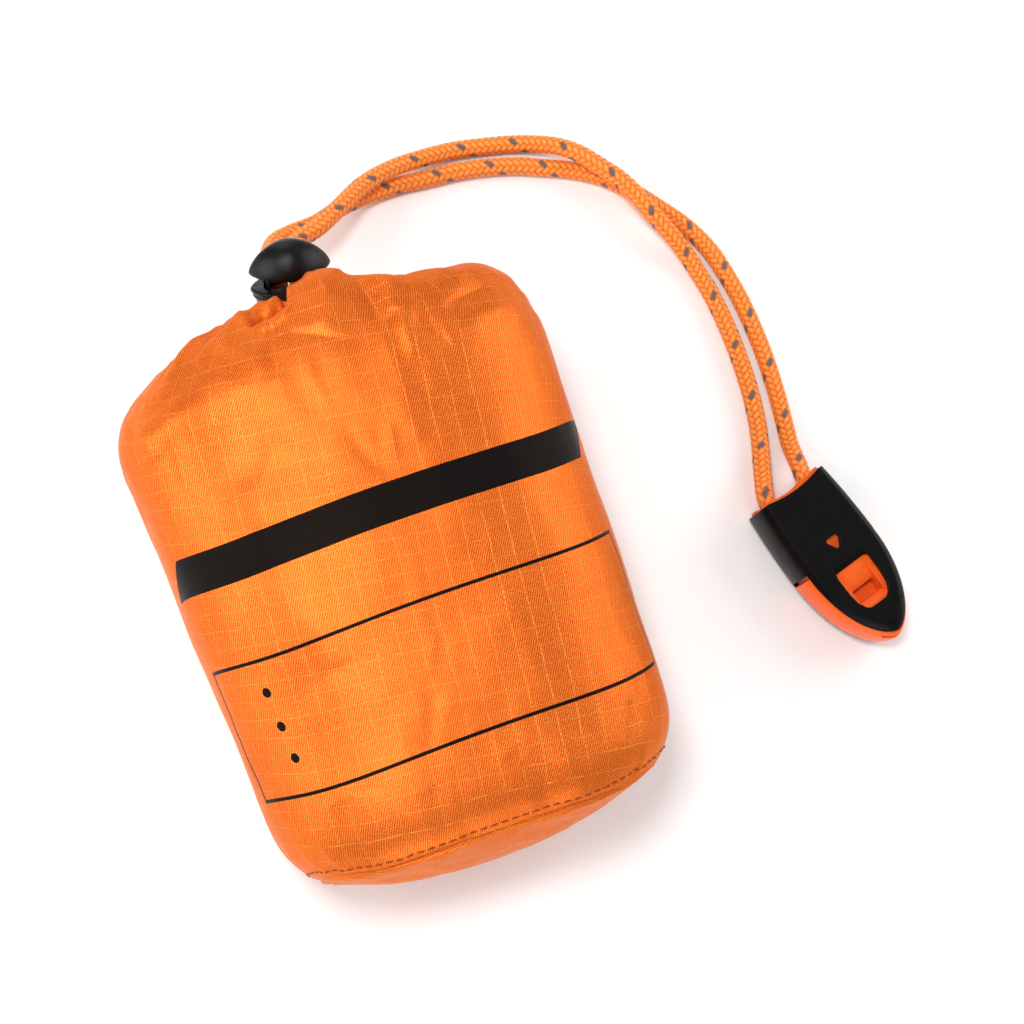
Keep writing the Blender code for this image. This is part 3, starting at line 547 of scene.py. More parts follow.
def mesh_from_grid(name, points, material, wrap=False, caps=False, attributes=None):
    """An object over a grid of points, rows by columns."""
    faces = grid_faces(*points.shape[:2], wrap, caps)
    return add_object(name, points.reshape(-1, 3).tolist(), faces, material, attributes)


def reach_along(points):
    """How far each point lies along its line. Lines run down the first axis."""
    steps = np.linalg.norm(np.diff(points, axis=0), axis=-1)
    return np.concatenate([np.zeros_like(steps[:1]), np.cumsum(steps, axis=0)])


def points_at(wanted, reach, points):
    """The points at the wanted places of a line, from each point's own place."""
    return np.stack([np.interp(wanted, reach, points[:, axis]) for axis in range(3)], axis=1)


def smooth_step(value):
    value = np.clip(value, 0, 1)
    return value * value * (3 - 2 * value)


def rounded(value, power):
    return np.sign(value) * np.abs(value) ** power


def ripple(turn, knots, seed):
    """A smooth irregular wave round a closed loop, from -1 to 1, with that many random heights."""
    heights = np.random.default_rng(seed).uniform(-1, 1, knots)
    place = (turn / (2 * pi) % 1) * knots
    low = np.floor(place).astype(int) % knots
    share = smooth_step(place - np.floor(place))
    return heights[low] * (1 - share) + heights[(low + 1) % knots] * share


def rough_field(points, size, seed, sharp=False):
    """Smooth noise at each point, from about -1 to 1, with lumps of that size. Sharp gives creases."""
    shift = Vector((seed * 13.7, seed * 5.1, seed * 9.3))
    flat = points.reshape(-1, 3) / size
    values = np.array([noise.noise(Vector(point) + shift) for point in flat.tolist()])
    if sharp:
        values = 1 - 2 * np.abs(values) ** 0.8
    return values.reshape(points.shape[:-1])


def surface_normals(points, wrap):
    """Outward directions of a grid of points."""
    across = np.roll(points, -1, 1) - np.roll(points, 1, 1) if wrap else np.gradient(points, axis=1)
    along = np.gradient(points, axis=0)
    normals = np.cross(along, across)
    return normals / np.maximum(np.linalg.norm(normals, axis=-1, keepdims=True), 1e-12)


def fold_field(x, y, folds):
    """What a set of folds adds at each point. A fold is a height, a width and the points on its line."""
    total = np.zeros_like(x)
    for height, width, route in folds:
        parts = [np.hypot(bx - ax, by - ay) for (ax, ay), (bx, by) in zip(route, route[1:])]
        nearest = np.full_like(x, 1e9)
        along = np.zeros_like(x)
        done = 0.0
        for (ax, ay), (bx, by), part in zip(route, route[1:], parts):
            share = np.clip(((x - ax) * (bx - ax) + (y - ay) * (by - ay)) / part ** 2, 0, 1)
            distance = np.hypot(x - ax - share * (bx - ax), y - ay - share * (by - ay))
            closer = distance < nearest
            nearest = np.where(closer, distance, nearest)
            along = np.where(closer, (done + share * part) / sum(parts), along)
            done += part
        taper = np.sqrt(np.clip(4 * along * (1 - along), 0, 1))
        total += height * taper * np.exp(-(nearest / width) ** 1.7)
    return total


# Drawcord

def smooth_route(points, step):
    """Points a step apart on a centripetal spline through the route's own points."""
    route = [Vector(point) for point in points]
    route = [2 * route[0] - route[1], *route, 2 * route[-1] - route[-2]]
    fine = []
    for p0, p1, p2, p3 in zip(route, route[1:], route[2:], route[3:]):
        k1 = sqrt((p1 - p0).length)
        k2 = k1 + sqrt((p2 - p1).length)
        k3 = k2 + sqrt((p3 - p2).length)
        for share in range(20):
            k = k1 + (k2 - k1) * share / 20
            a1 = p0.lerp(p1, k / k1)
            a2 = p1.lerp(p2, (k - k1) / (k2 - k1))
            a3 = p2.lerp(p3, (k - k2) / (k3 - k2))
            b1 = a1.lerp(a2, k / k2)
            b2 = a2.lerp(a3, (k - k1) / (k3 - k1))
            fine.append(b1.lerp(b2, (k - k1) / (k2 - k1)))
    fine.append(route[-2])
    return spaced_route(fine, step)


def spaced_route(fine, step):
    """The same line with its points a step apart."""
    points = np.array([tuple(point) for point in fine])
    reach = reach_along(points)
    return points_at(np.linspace(0, reach[-1], ceil(reach[-1] / step) + 1), reach, points)


def lock_point(x, y, z):
    return LOCK_CENTRE + LOCK_ROTATION @ Vector((x, y, z))


def whistle_point(x, y, z):
    return WHISTLE_PLACE + Matrix.Rotation(WHISTLE_TURN, 3, "Z") @ Vector((x, y, z))


def route_out(side, route_mm, ends):
    """One strand's points: straight out of the lock, along its route, and into the whistle."""
    starts = [lock_point(side * STRAND_SPACING / 2, y, 0) for y in (0.0, LOCK_STRAIGHT / 2, LOCK_STRAIGHT)]
    return starts + [Vector(point) * MM for point in route_mm] + [whistle_point(*point) for point in ends]


def braided_tube(name, path, material):
    """A cord along a path: the surface rises over each carrier's float and dips where carriers cross."""
    tangents = np.gradient(path, axis=0)
    tangents /= np.linalg.norm(tangents, axis=1, keepdims=True)
    side = Vector(tangents[0]).orthogonal().normalized()
    sides = []
    for before, after in zip(np.vstack([tangents[:1], tangents]), tangents):
        side = Vector(before).rotation_difference(Vector(after)) @ side
        side = (side - side.dot(Vector(after)) * Vector(after)).normalized()
        sides.append(tuple(side))
    sides = np.array(sides)
    ups = np.cross(tangents, sides)
    turn, along = np.meshgrid(2 * pi * np.arange(BRAID_SIDES) / BRAID_SIDES, reach_along(path))
    half = CARRIERS / 2
    z_place = (half * turn / pi - CARRIERS * along / BRAID_LAY) / 2
    s_place = (half * turn / pi + CARRIERS * along / BRAID_LAY) / 2
    z_carrier, s_carrier = np.round(z_place), np.round(s_place)
    phase = (z_carrier + s_carrier) % 4
    z_over = phase < 1.5
    z_start = np.where(phase == 0, s_carrier, s_carrier - 1) + 0.5
    s_start = np.where(phase == 2, z_carrier, z_carrier - 1) + 0.5
    across = np.where(z_over, z_place - z_carrier, s_place - s_carrier)
    down = np.where(z_over, s_place - z_start, z_place - s_start)
    ridge = np.sqrt(np.clip(1 - (1.9 * across) ** 2, 0, 1))
    height = ridge * (0.45 + 0.55 * np.cos(np.clip(down, -1, 1) * pi / 2))
    tracer = np.where(z_over & (z_carrier % half == 0), 1.0, 0.0)
    radius = CORD_RADIUS * (0.90 + 0.145 * height)
    points = path[:, None] + radius[..., None] * (np.cos(turn)[..., None] * sides[:, None]
                                                  + np.sin(turn)[..., None] * ups[:, None])
    return mesh_from_grid(name, points, material, wrap=True, caps=True,
                          attributes={"braid": np.stack([height, tracer, across], axis=-1)})


class SLEEPINGBAG_OT_drawcord(bpy.types.Operator):
    """Braids the drawcord: two strands from the lock to the whistle, and the stretch inside the hem"""

    bl_idname = "sleeping_bag.drawcord"
    bl_label = "Drawcord"

    def execute(self, context):
        braid = braid_finish()
        b, m, middle = BIGHT_RADIUS, WHISTLE_MOUTH, WHISTLE_MIDDLE
        front = route_out(1, FRONT_ROUTE_MM, (
            (-0.25 * b, 1.95 * m, 0.68 * middle), (-0.8 * b, 1.35 * m, middle), (-0.95 * b, 0.9 * m, middle),
            (-b, 0.35 * m, middle), (-b, 0, middle)))
        back = route_out(-1, BACK_ROUTE_MM, (
            (1.32 * b, 1.6 * m, 0.78 * middle), (1.08 * b, 1.15 * m, 0.97 * middle), (b, 0.6 * m, middle),
            (b, 0, middle)))
        bight = [whistle_point(-b * cos(turn), -b * sin(turn), middle)
                 for turn in [pi * i / 24 for i in range(1, 24)]]
        fine = [*map(Vector, smooth_route(front, 0.5 * MM)), *bight,
                *map(Vector, smooth_route(back, 0.5 * MM)[::-1])]
        path = spaced_route(fine, BRAID_STEP)
        cord = braided_tube("drawcord", path, braid)
        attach(cord, "sack")
        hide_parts("drawcord_front_strand", "drawcord_back_strand", "drawcord_bight")

        half = STRAND_SPACING / 2
        leave = radians(40)
        arc = [pi / 2 + leave + (2 * pi - 2 * leave) * i / 20 for i in range(21)]
        ring = [MOUTH_CENTRE + (LOCK_ACROSS * cos(turn) + LOCK_UP * sin(turn)) * RING_RADIUS for turn in arc]
        leads = [[lock_point(side * x, -y, 0) for x, y in (
            (half, 0), (half, LOCK_DEPTH / 2), (1.1 * half, RING_TO_LOCK - 4.2 * MM),
            (1.4 * half, RING_TO_LOCK - 1.6 * MM))] for side in (-1, 1)]
        route = smooth_route(leads[0] + ring + leads[1][::-1], BRAID_STEP)
        hidden = braided_tube("drawcord_loop", route, braid)
        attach(hidden, "sack")
        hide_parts("drawcord_in_hem")
        return {"FINISHED"}


# Sack

def sack_half_width(y):
    share = np.clip((y - SEAM_Y) / (SHOULDER_Y - SEAM_Y), 0, 1)
    return (BASE_WIDTH + (SHOULDER_WIDTH - BASE_WIDTH) * share) / 2


def section(turn, y, scale=1.0, inset=0.0):
    """Points of the sack's cross section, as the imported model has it."""
    turn, y = np.broadcast_arrays(turn, y)
    x = (sack_half_width(y) * scale - inset) * rounded(np.cos(turn), SECTION_POWER)
    z = MIDDLE_Z + (HALF_DEPTH * scale - inset) * rounded(np.sin(turn), SECTION_POWER)
    drawn = np.clip((SEAM_Y + CORNER_REACH - y) / CORNER_REACH, 0, 1)
    rise = CORNER_RISE * drawn * np.abs(x / (BASE_WIDTH / 2)) ** CORNER_POWER
    return np.stack([x, y + rise, np.maximum(z, inset)], axis=-1)


def even_turns(count):
    """Turns from under the sack, over its front and back, spaced evenly along the cross section."""
    fine = np.linspace(-pi / 2, 3 * pi / 2, 4001)
    outline = section(fine, SHOULDER_Y)
    reach = reach_along(outline)
    return np.interp(np.linspace(0, reach[-1], count), reach, fine)


def ring_outward(turn):
    """Directions out from the middle of the ring that the hem makes round the mouth."""
    return np.cos(turn)[..., None] * np.array(LOCK_ACROSS) + np.sin(turn)[..., None] * np.array(LOCK_UP)


def neck_reach(turn):
    """How far the cloth reaches past the shoulder: a smooth closed curve through the model's values."""
    table = np.array(NECK_REACH_MM) * MM
    place = turn / (2 * pi) * len(table)
    at = np.floor(place).astype(int)
    share = place - at
    before, low, high, after = (table[(at + i) % len(table)] for i in (-1, 0, 1, 2))
    return (2 * low + (high - before) * share + (2 * before - 5 * low + 4 * high - after) * share ** 2
            + (3 * low - before - 3 * high + after) * share ** 3) / 2


# How the rim departs from the imported model's on the front. Each pair is a place across the sack in
# millimetres and a value there: RIM_TRIM_MM is how much further the cloth reaches, RIM_SQUARE is how square its
# shoulder is, and RIM_WIDE is how wide it stays. A least squares fit of the cloth's outline to the outline in
# the photo gave all values but the last of RIM_TRIM_MM, which was then moved.
RIM_TRIM_MM = (
    (-46, -0.4), (-40, -0.1), (-36, -0.1), (-32, -0.3), (-28, -0.6), (-24, -0.6), (-20, -0.4),
    (-14, -0.4), (-8, -0.6), (-3, -1.4), (4, -2.1), (8, -2.0), (12, -1.4), (16, -1.1), (20, -2.1),
    (24, -3.3), (30, -4.5), (34, -6.0), (38, -8.1), (42, -10.8), (46, -12.5),
)
RIM_SQUARE = ((-46, 0.61), (-20, 0.65), (10, 0.77), (30, 1.02), (40, 1.66), (46, 1.8))
RIM_WIDE = ((16, 0.14), (32, 0.43), (46, 0.39))

# How far the neck leans to one side of the seam
LEAN = -1.7 * MM


def neck(turn, share):
    """Points of the cloth from the shoulder, over the rim of the closed end and in to the hem."""
    start = section(turn, np.full_like(turn, SHOULDER_Y))
    hem = np.array(MOUTH_CENTRE) + ring_outward(turn) * LOOP_RADIUS - np.array(LOCK_OUT) * (HEM_THICKNESS / 4)
    front = np.clip(np.sin(turn) / 0.5 + 0.2, 0, 1)
    reach = neck_reach(turn) + front * np.interp(start[..., 0] / MM, *zip(*RIM_TRIM_MM)) * MM
    first = start.copy()
    square = np.interp(start[..., 0] / MM, *zip(*RIM_SQUARE))
    first[..., 1] += reach * (RIM_SHARE * (1 - front) + square * front)
    wide = front * np.interp(start[..., 0] / MM, *zip(*RIM_WIDE))
    lean = (0.2 - 0.08 * np.maximum(np.sin(turn), 0) + wide)[..., None]
    second = hem * (1 - lean) + start * lean
    second[..., 1] = SHOULDER_Y + reach
    k = share[..., None]
    back = 1 - k
    return back ** 3 * start + 3 * back ** 2 * k * first + 3 * back * k ** 2 * second + k ** 3 * hem


# Folds on the front, in millimetres: height, width, and the points they run through in X and Y
FRONT_FOLDS_MM = (
    (1.4, 4.8, ((1.5, 63.0), (1.5, 57.0), (-1.0, 51.0), (-4.0, 45.0))),
    (-1.6, 2.2, ((5.5, 57.0), (7.5, 53.5), (8.5, 50.0), (8.0, 44.0))),
    (0.8, 3.4, ((11.5, 57.0), (12.5, 52.0), (12.0, 45.0))),
    (0.9, 4.5, ((22.0, 60.0), (24.0, 53.0), (26.0, 45.0))),
    (-0.8, 3.2, ((22.0, 41.5), (29.0, 45.5), (36.0, 46.5), (41.0, 44.0))),
    (0.6, 4.0, ((20.0, 36.0), (29.0, 40.0), (38.0, 40.5))),
    (-1.0, 3.6, ((-44.0, 43.0), (-39.0, 42.5), (-33.0, 44.0), (-27.0, 47.0))),
    (0.8, 4.4, ((-43.0, 37.0), (-37.0, 37.5), (-30.0, 40.0), (-24.0, 44.5))),
    (-0.7, 2.6, ((-24.0, 57.0), (-21.0, 51.0), (-19.0, 45.0))),
    (0.5, 6.0, ((-30.0, 20.0), (-24.0, 2.0), (-22.0, -18.0))),
    (-0.3, 8.0, ((6.0, 30.0), (3.0, 8.0), (6.0, -20.0))),
    (0.45, 6.0, ((26.0, 24.0), (24.0, 4.0), (29.0, -20.0))),
    (-0.35, 2.8, ((-31.0, -57.0), (-29.0, -50.0), (-30.0, -42.0))),
    (0.4, 3.0, ((-26.0, -57.0), (-25.0, -49.0), (-23.0, -42.0))),
    (-0.25, 2.6, ((-14.0, -57.0), (-12.0, -50.0), (-12.5, -45.0))),
    (-0.3, 2.8, ((8.0, -57.0), (7.0, -50.0), (4.0, -44.0))),
    (0.3, 3.0, ((15.0, -57.0), (16.0, -50.0), (18.0, -45.0))),
    (-0.3, 3.0, ((25.0, -57.0), (27.0, -50.0), (31.0, -43.0))),
)

# The pocket that the cloth folds into beside the lock: its depth, and its lip in millimetres of X and Y
POCKET_DEPTH_MM = 4.2
POCKET_LIP_MM = ((-17.0, 50.2), (-15.2, 50.8), (-11.3, 51.3), (-8.4, 52.1), (-6.8, 54.5), (-6.0, 57.0))


def seam_pucker(turn):
    return 0.6 * ripple(turn, 46, 5) + 0.4 * ripple(turn, 83, 6)


def scattered_folds(rng, count, low, high, lean):
    """Small folds strewn over the cloth, in millimetres of its own width and length."""
    folds = []
    for _ in range(count):
        u = rng.uniform(-GIRTH_MM / 2, GIRTH_MM / 2)
        v = rng.uniform(low, high)
        way = rng.normal(pi / 2, lean)
        half = rng.uniform(4, 12)
        bend = rng.normal(0, 1.2)
        dx, dy = cos(way), sin(way)
        folds.append((rng.choice([-1, 1]) * rng.uniform(0.15, 0.5), rng.uniform(1.2, 3.0), (
            (u - dx * half, v - dy * half), (u + dy * bend, v - dx * bend), (u + dx * half, v + dy * half))))
    return folds


def cloth_lift(points, turn, u, length, share):
    """How far the seam's puckers, the folds and the neck's pleats lift each point, in millimetres."""
    x_mm, y_mm, z_mm = (points[..., axis] / MM for axis in range(3))
    shoulder = np.clip((y_mm - 15) / 30, 0, 1)
    lift = 0.75 * rough_field(points, 26 * MM, 1) + 0.22 * rough_field(points, 13 * MM, 2)
    creases = rough_field(points * np.array([1, 0.45, 1]), 5.5 * MM, 3, sharp=True)
    lift += 0.22 * creases * (0.35 + 0.65 * shoulder)
    lift += 0.6 * np.exp(-length / 7.0) * seam_pucker(turn) * np.clip(length / 1.2, 0, 1)
    rng = np.random.default_rng(11)
    lift += fold_field(u, length, scattered_folds(rng, 60, 4, 90, 0.5)) * 0.4
    lift += fold_field(u, length, scattered_folds(rng, 40, 78, 125, 0.25)) * 1.2
    front = np.clip((z_mm - 30) / 12, 0, 1) * (1 - smooth_step((share - 0.8) / 0.2))
    lift += fold_field(x_mm, y_mm, FRONT_FOLDS_MM) * front
    gather = np.clip((share - 0.3) / 0.7, 0, 1)
    many = np.abs(np.sin(11 * turn + 1.5 * ripple(turn, 9, 21) + 0.4)) ** 0.8
    few = np.abs(np.sin(6 * turn + 1.8 * ripple(turn, 7, 22))) ** 0.8
    pleats = (many - 0.6) * gather ** 1.2 * 2.4 + (few - 0.6) * gather * (1 - gather) * 7.0
    lift += pleats * (1 - 0.55 * gather ** 6)
    above = y_mm - np.interp(x_mm, *zip(*POCKET_LIP_MM))
    sides = smooth_step((x_mm + 16.5) / 3.0) * smooth_step((-5.6 - x_mm) / 1.8)
    hollow = POCKET_DEPTH_MM * smooth_step(above / 1.1) * (1 - smooth_step((above - 3.0) / 3.0))
    return lift + front * sides * (0.5 * np.exp(-(above + 0.8) ** 2) - hollow)


def sack_points():
    """The sack's cloth: its points, and each point's place on the flat cloth in millimetres."""
    turn_line = even_turns(SACK_COLUMNS)
    depth = (np.arange(BODY_ROWS) / (BODY_ROWS - 1)) ** 1.15 * (SHOULDER_Y - SEAM_Y)
    turn, y = np.meshgrid(turn_line, SEAM_Y + depth)
    body = section(turn, y, 1 - (1 - SEAM_SCALE) * np.exp(-(y - SEAM_Y) / (3.2 * MM)))
    neck_turn, share = np.meshgrid(turn_line, np.arange(1, NECK_ROWS + 1) / NECK_ROWS)
    points = np.vstack([body, neck(neck_turn, share)])
    turn = np.vstack([turn, neck_turn])
    share = np.vstack([np.zeros_like(body[..., 0]), share])
    towards_neck = np.clip((points[..., 1] / MM + 33) / 71, 0, 1)
    points[..., 0] += LEAN * towards_neck * (1 - share)

    length = reach_along(points) / MM
    u = np.broadcast_to(np.linspace(GIRTH_MM / 2, -GIRTH_MM / 2, SACK_COLUMNS), turn.shape)
    lift = cloth_lift(points, turn, u, length, share) * looks().fold_depth
    points = points + surface_normals(points, wrap=False) * (lift * MM)[..., None]
    points[..., 2] = np.maximum(points[..., 2], 0.05 * MM)
    lapped = np.arange(SACK_COLUMNS) * GIRTH_MM / SACK_COLUMNS < LAP_MM
    points[..., 2] += 2 * CLOTH_THICKNESS * lapped * np.clip((length - 4) / 10, 0, 1)

    inner = closing_rows(points[-1], turn_line)
    inner_length = length[-1] + reach_along(np.vstack([points[-1:], inner]))[1:] / MM
    place = np.stack([u, length, share], axis=-1)
    inner_place = np.stack([u[:CLOSING_ROWS], inner_length, np.ones_like(inner_length)], axis=-1)
    return np.vstack([points, inner]), np.vstack([place, inner_place])


def closing_rows(edge, turn):
    """The cloth's last stretch, drawn in behind the hem until its pleats close the mouth."""
    outward = ring_outward(turn)
    out = np.array(LOCK_OUT)
    behind = np.array(MOUTH_CENTRE) - out * (HEM_THICKNESS / 2 + 0.9 * MM)
    middle = behind + outward * (RING_RADIUS + HEM_THICKNESS / 2)
    end = behind + outward * 0.5 * MM + out * 1.5 * MM
    pleat = (np.abs(np.sin(9 * turn + 0.7 * ripple(turn, 11, 23))) - 0.6)[:, None] * out * 1.2 * MM
    k = (np.arange(1, CLOSING_ROWS + 1) / CLOSING_ROWS)[:, None, None]
    return edge * (1 - k) ** 2 + 2 * k * (1 - k) * middle + end * k ** 2 + pleat * 4 * k * (1 - k)


def base_points(cloth_edge):
    """The base panel, out to the cloth's own edge: its points, and their places on the flat panel."""
    sack_turns = even_turns(SACK_COLUMNS)
    astray = cloth_edge - section(sack_turns, np.full_like(sack_turns, SEAM_Y), SEAM_SCALE)
    turn_line = even_turns(BASE_COLUMNS + 1)[:-1]
    share = np.concatenate([np.linspace(1, 0.9, RIM_ROWS), np.linspace(0.89, 0.01, BASE_ROWS - RIM_ROWS)])
    turn, share = np.meshgrid(turn_line, share)
    panel = section(turn, np.full_like(turn, SEAM_Y), SEAM_SCALE)
    across, over = panel[..., 0] * share, (panel[..., 2] - MIDDLE_Z) * share
    turned_up = np.clip((share - TURN_UP_FROM) / (1 - TURN_UP_FROM), 0, 1)
    y = SEAM_Y - 0.4 * MM - BASE_BULGE * (1 - share ** 2) + (panel[..., 1] - SEAM_Y) * share ** 3
    points = np.stack([across, y + turned_up * TURN_UP, MIDDLE_Z + over], axis=-1)
    points += points_at(turn_line, sack_turns, astray) * (share ** 6)[..., None]
    lift = (0.25 * np.exp(-(1 - share) * 9) * seam_pucker(turn) * np.clip((1 - share) / 0.03, 0, 1)
            + 0.7 * rough_field(points, 17 * MM, 8) + 0.3 * rough_field(points, 7 * MM, 9, sharp=True))
    points[..., 1] -= lift * MM * looks().fold_depth
    wider = (1 + turned_up * 0.04) / MM
    return points, np.stack([across * wider, over * wider, share], axis=-1)


class SLEEPINGBAG_OT_sack(bpy.types.Operator):
    """Forms the sack's ripstop cloth with its folds, gathers and print, and the base panel sewn to it"""

    bl_idname = "sleeping_bag.sack"
    bl_label = "Sack"

    def execute(self, context):
        points, cloth_mm = sack_points()
        sack = mesh_from_grid("sack_cloth", points[:, ::-1],
                              nylon_finish("ripstop_printed", GRAIN_TURN, True),
                              attributes={"cloth_mm": cloth_mm[:, ::-1]})
        wall = sack.modifiers.new("thickness", "SOLIDIFY")
        wall.thickness = CLOTH_THICKNESS
        wall.offset = -1
        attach(sack, "sack")
        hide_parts("sack_body")

        points, panel_mm = base_points(points[0])
        base = mesh_from_grid("base_panel", points[:, ::-1],
                              nylon_finish("ripstop_plain", BASE_GRAIN_TURN, False), wrap=True, caps=True,
                              attributes={"cloth_mm": panel_mm[:, ::-1]})
        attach(base, "sack")
        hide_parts("sack_base")
        return {"FINISHED"}


class SLEEPINGBAG_OT_hem(bpy.types.Operator):
    """Ruffles the hem round the drawcord, and sews the base seam"""

    bl_idname = "sleeping_bag.hem"
    bl_label = "Hem and stitches"

    def execute(self, context):
        plain = nylon_finish("ripstop_hem", 0.0, False)
        ring, side = np.meshgrid(np.linspace(pi / 2 + HEM_GAP, 5 * pi / 2 - HEM_GAP, HEM_STATIONS),
                                 2 * pi * np.arange(HEM_SIDES) / HEM_SIDES, indexing="ij")
        ruffle = np.abs(np.sin(12 * ring + 1.4 * ripple(ring, 9, 31))) ** 0.7
        ruffle = ruffle * (0.75 + 0.25 * ripple(ring, 17, 32))
        radius = HEM_THICKNESS / 2 * (0.80 + 0.24 * ruffle) + 0.12 * MM * ripple(side + ring, 13, 33)
        outward = ring_outward(ring)
        centre = np.array(MOUTH_CENTRE) + outward * RING_RADIUS
        spoke = outward * np.cos(side)[..., None] + np.array(LOCK_OUT) * np.sin(side)[..., None]
        inner = (centre + spoke * (CORD_RADIUS + 0.2 * MM))[[0, -1]]
        points = np.vstack([inner[:1], centre + spoke * radius[..., None], inner[1:]])
        ring = np.vstack([ring[:1], ring, ring[-1:]])
        side = np.vstack([side[:1], side, side[-1:]])
        place = np.stack([ring * 38, side * 3.4, side], axis=-1)
        hem = mesh_from_grid("gathered_hem", points[:, ::-1], plain, wrap=True,
                             attributes={"cloth_mm": place[:, ::-1]})
        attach(hem, "sack")
        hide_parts("mouth_hem")
        self.sew_base()
        return {"FINISHED"}

    def sew_base(self):
        """Lays the stitches along one row of the sack's own cloth."""
        cloth = bpy.data.objects["sack_cloth"].data
        grid = np.empty(len(cloth.vertices) * 3, np.float32)
        cloth.vertices.foreach_get("co", grid)
        band = grid.astype(float).reshape(-1, SACK_COLUMNS, 3)[SEAM_ROW - 1:SEAM_ROW + 2]
        line, normals = band[1], surface_normals(band, wrap=False)[1]
        reach = reach_along(line)
        count = looks().stitch_count
        wanted = (np.arange(count) + 0.5) / count * reach[-1]
        ways = points_at(wanted, reach, np.gradient(line, reach, axis=0))
        outs = points_at(wanted, reach, normals)
        ways /= np.linalg.norm(ways, axis=1, keepdims=True)
        outs /= np.linalg.norm(outs, axis=1, keepdims=True)
        share = np.linspace(-1, 1, STITCH_RINGS)[:, None, None]
        turn = 2 * pi * np.arange(STITCH_SIDES)[:, None] / STITCH_SIDES
        radius = STITCH_RADIUS * np.sqrt(np.maximum(1 - share ** 4, 0.02))
        pattern = grid_faces(STITCH_RINGS, STITCH_SIDES, wrap=True, caps=True)
        points, faces = [], []
        for at, along, up in zip(points_at(wanted, reach, line), ways, outs):
            up = up if np.dot(up, at - np.array([0, at[1], MIDDLE_Z])) > 0 else -up
            middle = at + along * share * STITCH_HALF + up * STITCH_RISE * (1 - share ** 2)
            stitch = middle + (up * np.cos(turn) + np.cross(along, up) * np.sin(turn)) * radius
            faces += [[len(points) + i for i in face] for face in pattern]
            points += stitch.reshape(-1, 3).tolist()
        stitches = add_object("base_stitches", points, faces, thread_finish())
        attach(stitches, "sack")


class SLEEPINGBAG_OT_roll(bpy.types.Operator):
    """Winds the foil bag: a flat spiral of crinkled film layers"""

    bl_idname = "sleeping_bag.roll"
    bl_label = "Foil roll"

    def execute(self, context):
        low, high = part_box("sleeping_bag_roll")
        steps = int(ROLL_TURNS * STEPS_PER_TURN)
        wound = np.arange(steps + 1) / steps * ROLL_TURNS
        inset = ROLL_INSET + (FOIL_LAYERS + LAYER_GAP) * wound
        flat = np.full_like(wound, SEAM_Y + CORNER_REACH)
        outer, inner = (section(2 * pi * wound, flat, ROLL_SHARE, inset + deeper)
                        for deeper in (0, FOIL_LAYERS))
        points = np.repeat(np.concatenate([outer, inner[::-1]])[None], ROLL_ROWS, axis=0)
        points[..., 1] = np.linspace(low.y, high.y, ROLL_ROWS)[:, None]
        middle = (np.concatenate([outer, inner[::-1]]) + np.concatenate([inner, outer[::-1]])) / 2
        crinkle = 0.16 * rough_field(points, 6 * MM, 15, sharp=True) + 0.1 * rough_field(points, 3 * MM, 16)
        inward = np.minimum(crinkle - 0.18, 0) * MM
        towards = middle[None] - points
        towards[..., 1] = 0
        towards /= np.linalg.norm(towards, axis=-1, keepdims=True)
        points = points - towards * inward[..., None]

        count = points.shape[1]
        faces = grid_faces(ROLL_ROWS, count, wrap=True)
        vertices = points.reshape(-1, 3).tolist()
        film = [(0.0, 0.0, 0.0)] * len(vertices)
        for row, way in ((0, -1), (ROLL_ROWS - 1, 1)):
            near, far = points[row, :steps + 1], points[row, ::-1][:steps + 1]
            first = row * count
            lines = [first + np.arange(steps + 1)]
            for k in range(1, END_STRANDS):
                share = k / END_STRANDS
                line = near * (1 - share) + far * share
                line[:, 1] += way * 0.5 * MM * sin(pi * share) * (0.6 + 0.4 * ripple(wound, 41, 17 + k))
                lines.append(len(vertices) + np.arange(steps + 1))
                vertices += line.tolist()
                film += [(share, 1.0, 0.0)] * (steps + 1)
            lines.append(first + count - 1 - np.arange(steps + 1))
            for a, b in zip(lines, lines[1:]):
                faces += np.stack([a[:-1], a[1:], b[1:], b[:-1]], axis=1)[:, ::way].tolist()
            for end, turned in ((0, way), (steps, -way)):
                faces.append([int(line[end]) for line in lines][::turned])
        roll = add_object("foil_roll", vertices, faces, foil_finish(), {"film": film})
        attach(roll, "sack")
        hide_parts("sleeping_bag_roll")
        return {"FINISHED"}


# Cord lock and whistle, in millimetres of their own axes

# The lock's outline, and how many rings and points it has. LENS_WEIGHT spreads the rings where it widens.
LENS_HALF_X, LENS_HALF_Y = 8.5, 5.8
LENS_RINGS, LENS_POINTS, LENS_WEIGHT = 64, 144, 8
BARREL_BOTTOM, BARREL_RIM = -10.1, 3.7
BARREL_PROFILE = (
    (0.0, 0.60), (0.03, 0.69), (0.09, 0.765), (0.18, 0.81), (0.32, 0.84), (0.55, 0.86), (0.70, 0.875),
    (0.80, 0.91), (0.875, 0.965), (0.90, 0.955), (0.915, 0.97), (0.94, 1.0), (0.975, 1.005), (1.0, 0.98),
)
BUTTON_UNDER, BUTTON_DOME = 6.3, 7.0
BUTTON_PROFILE = (
    (0.0, 0.88), (0.02, 0.95), (0.07, 0.99), (0.13, 1.0), (0.20, 0.985), (0.32, 0.94), (0.48, 0.85),
    (0.64, 0.73), (0.78, 0.58), (0.89, 0.42), (0.96, 0.26), (0.99, 0.13), (1.0, 0.02),
)
SLOT_HALF, SLOT_RADIUS = 2.2, 2.3
SPRING_WELL_RADIUS = 2.75


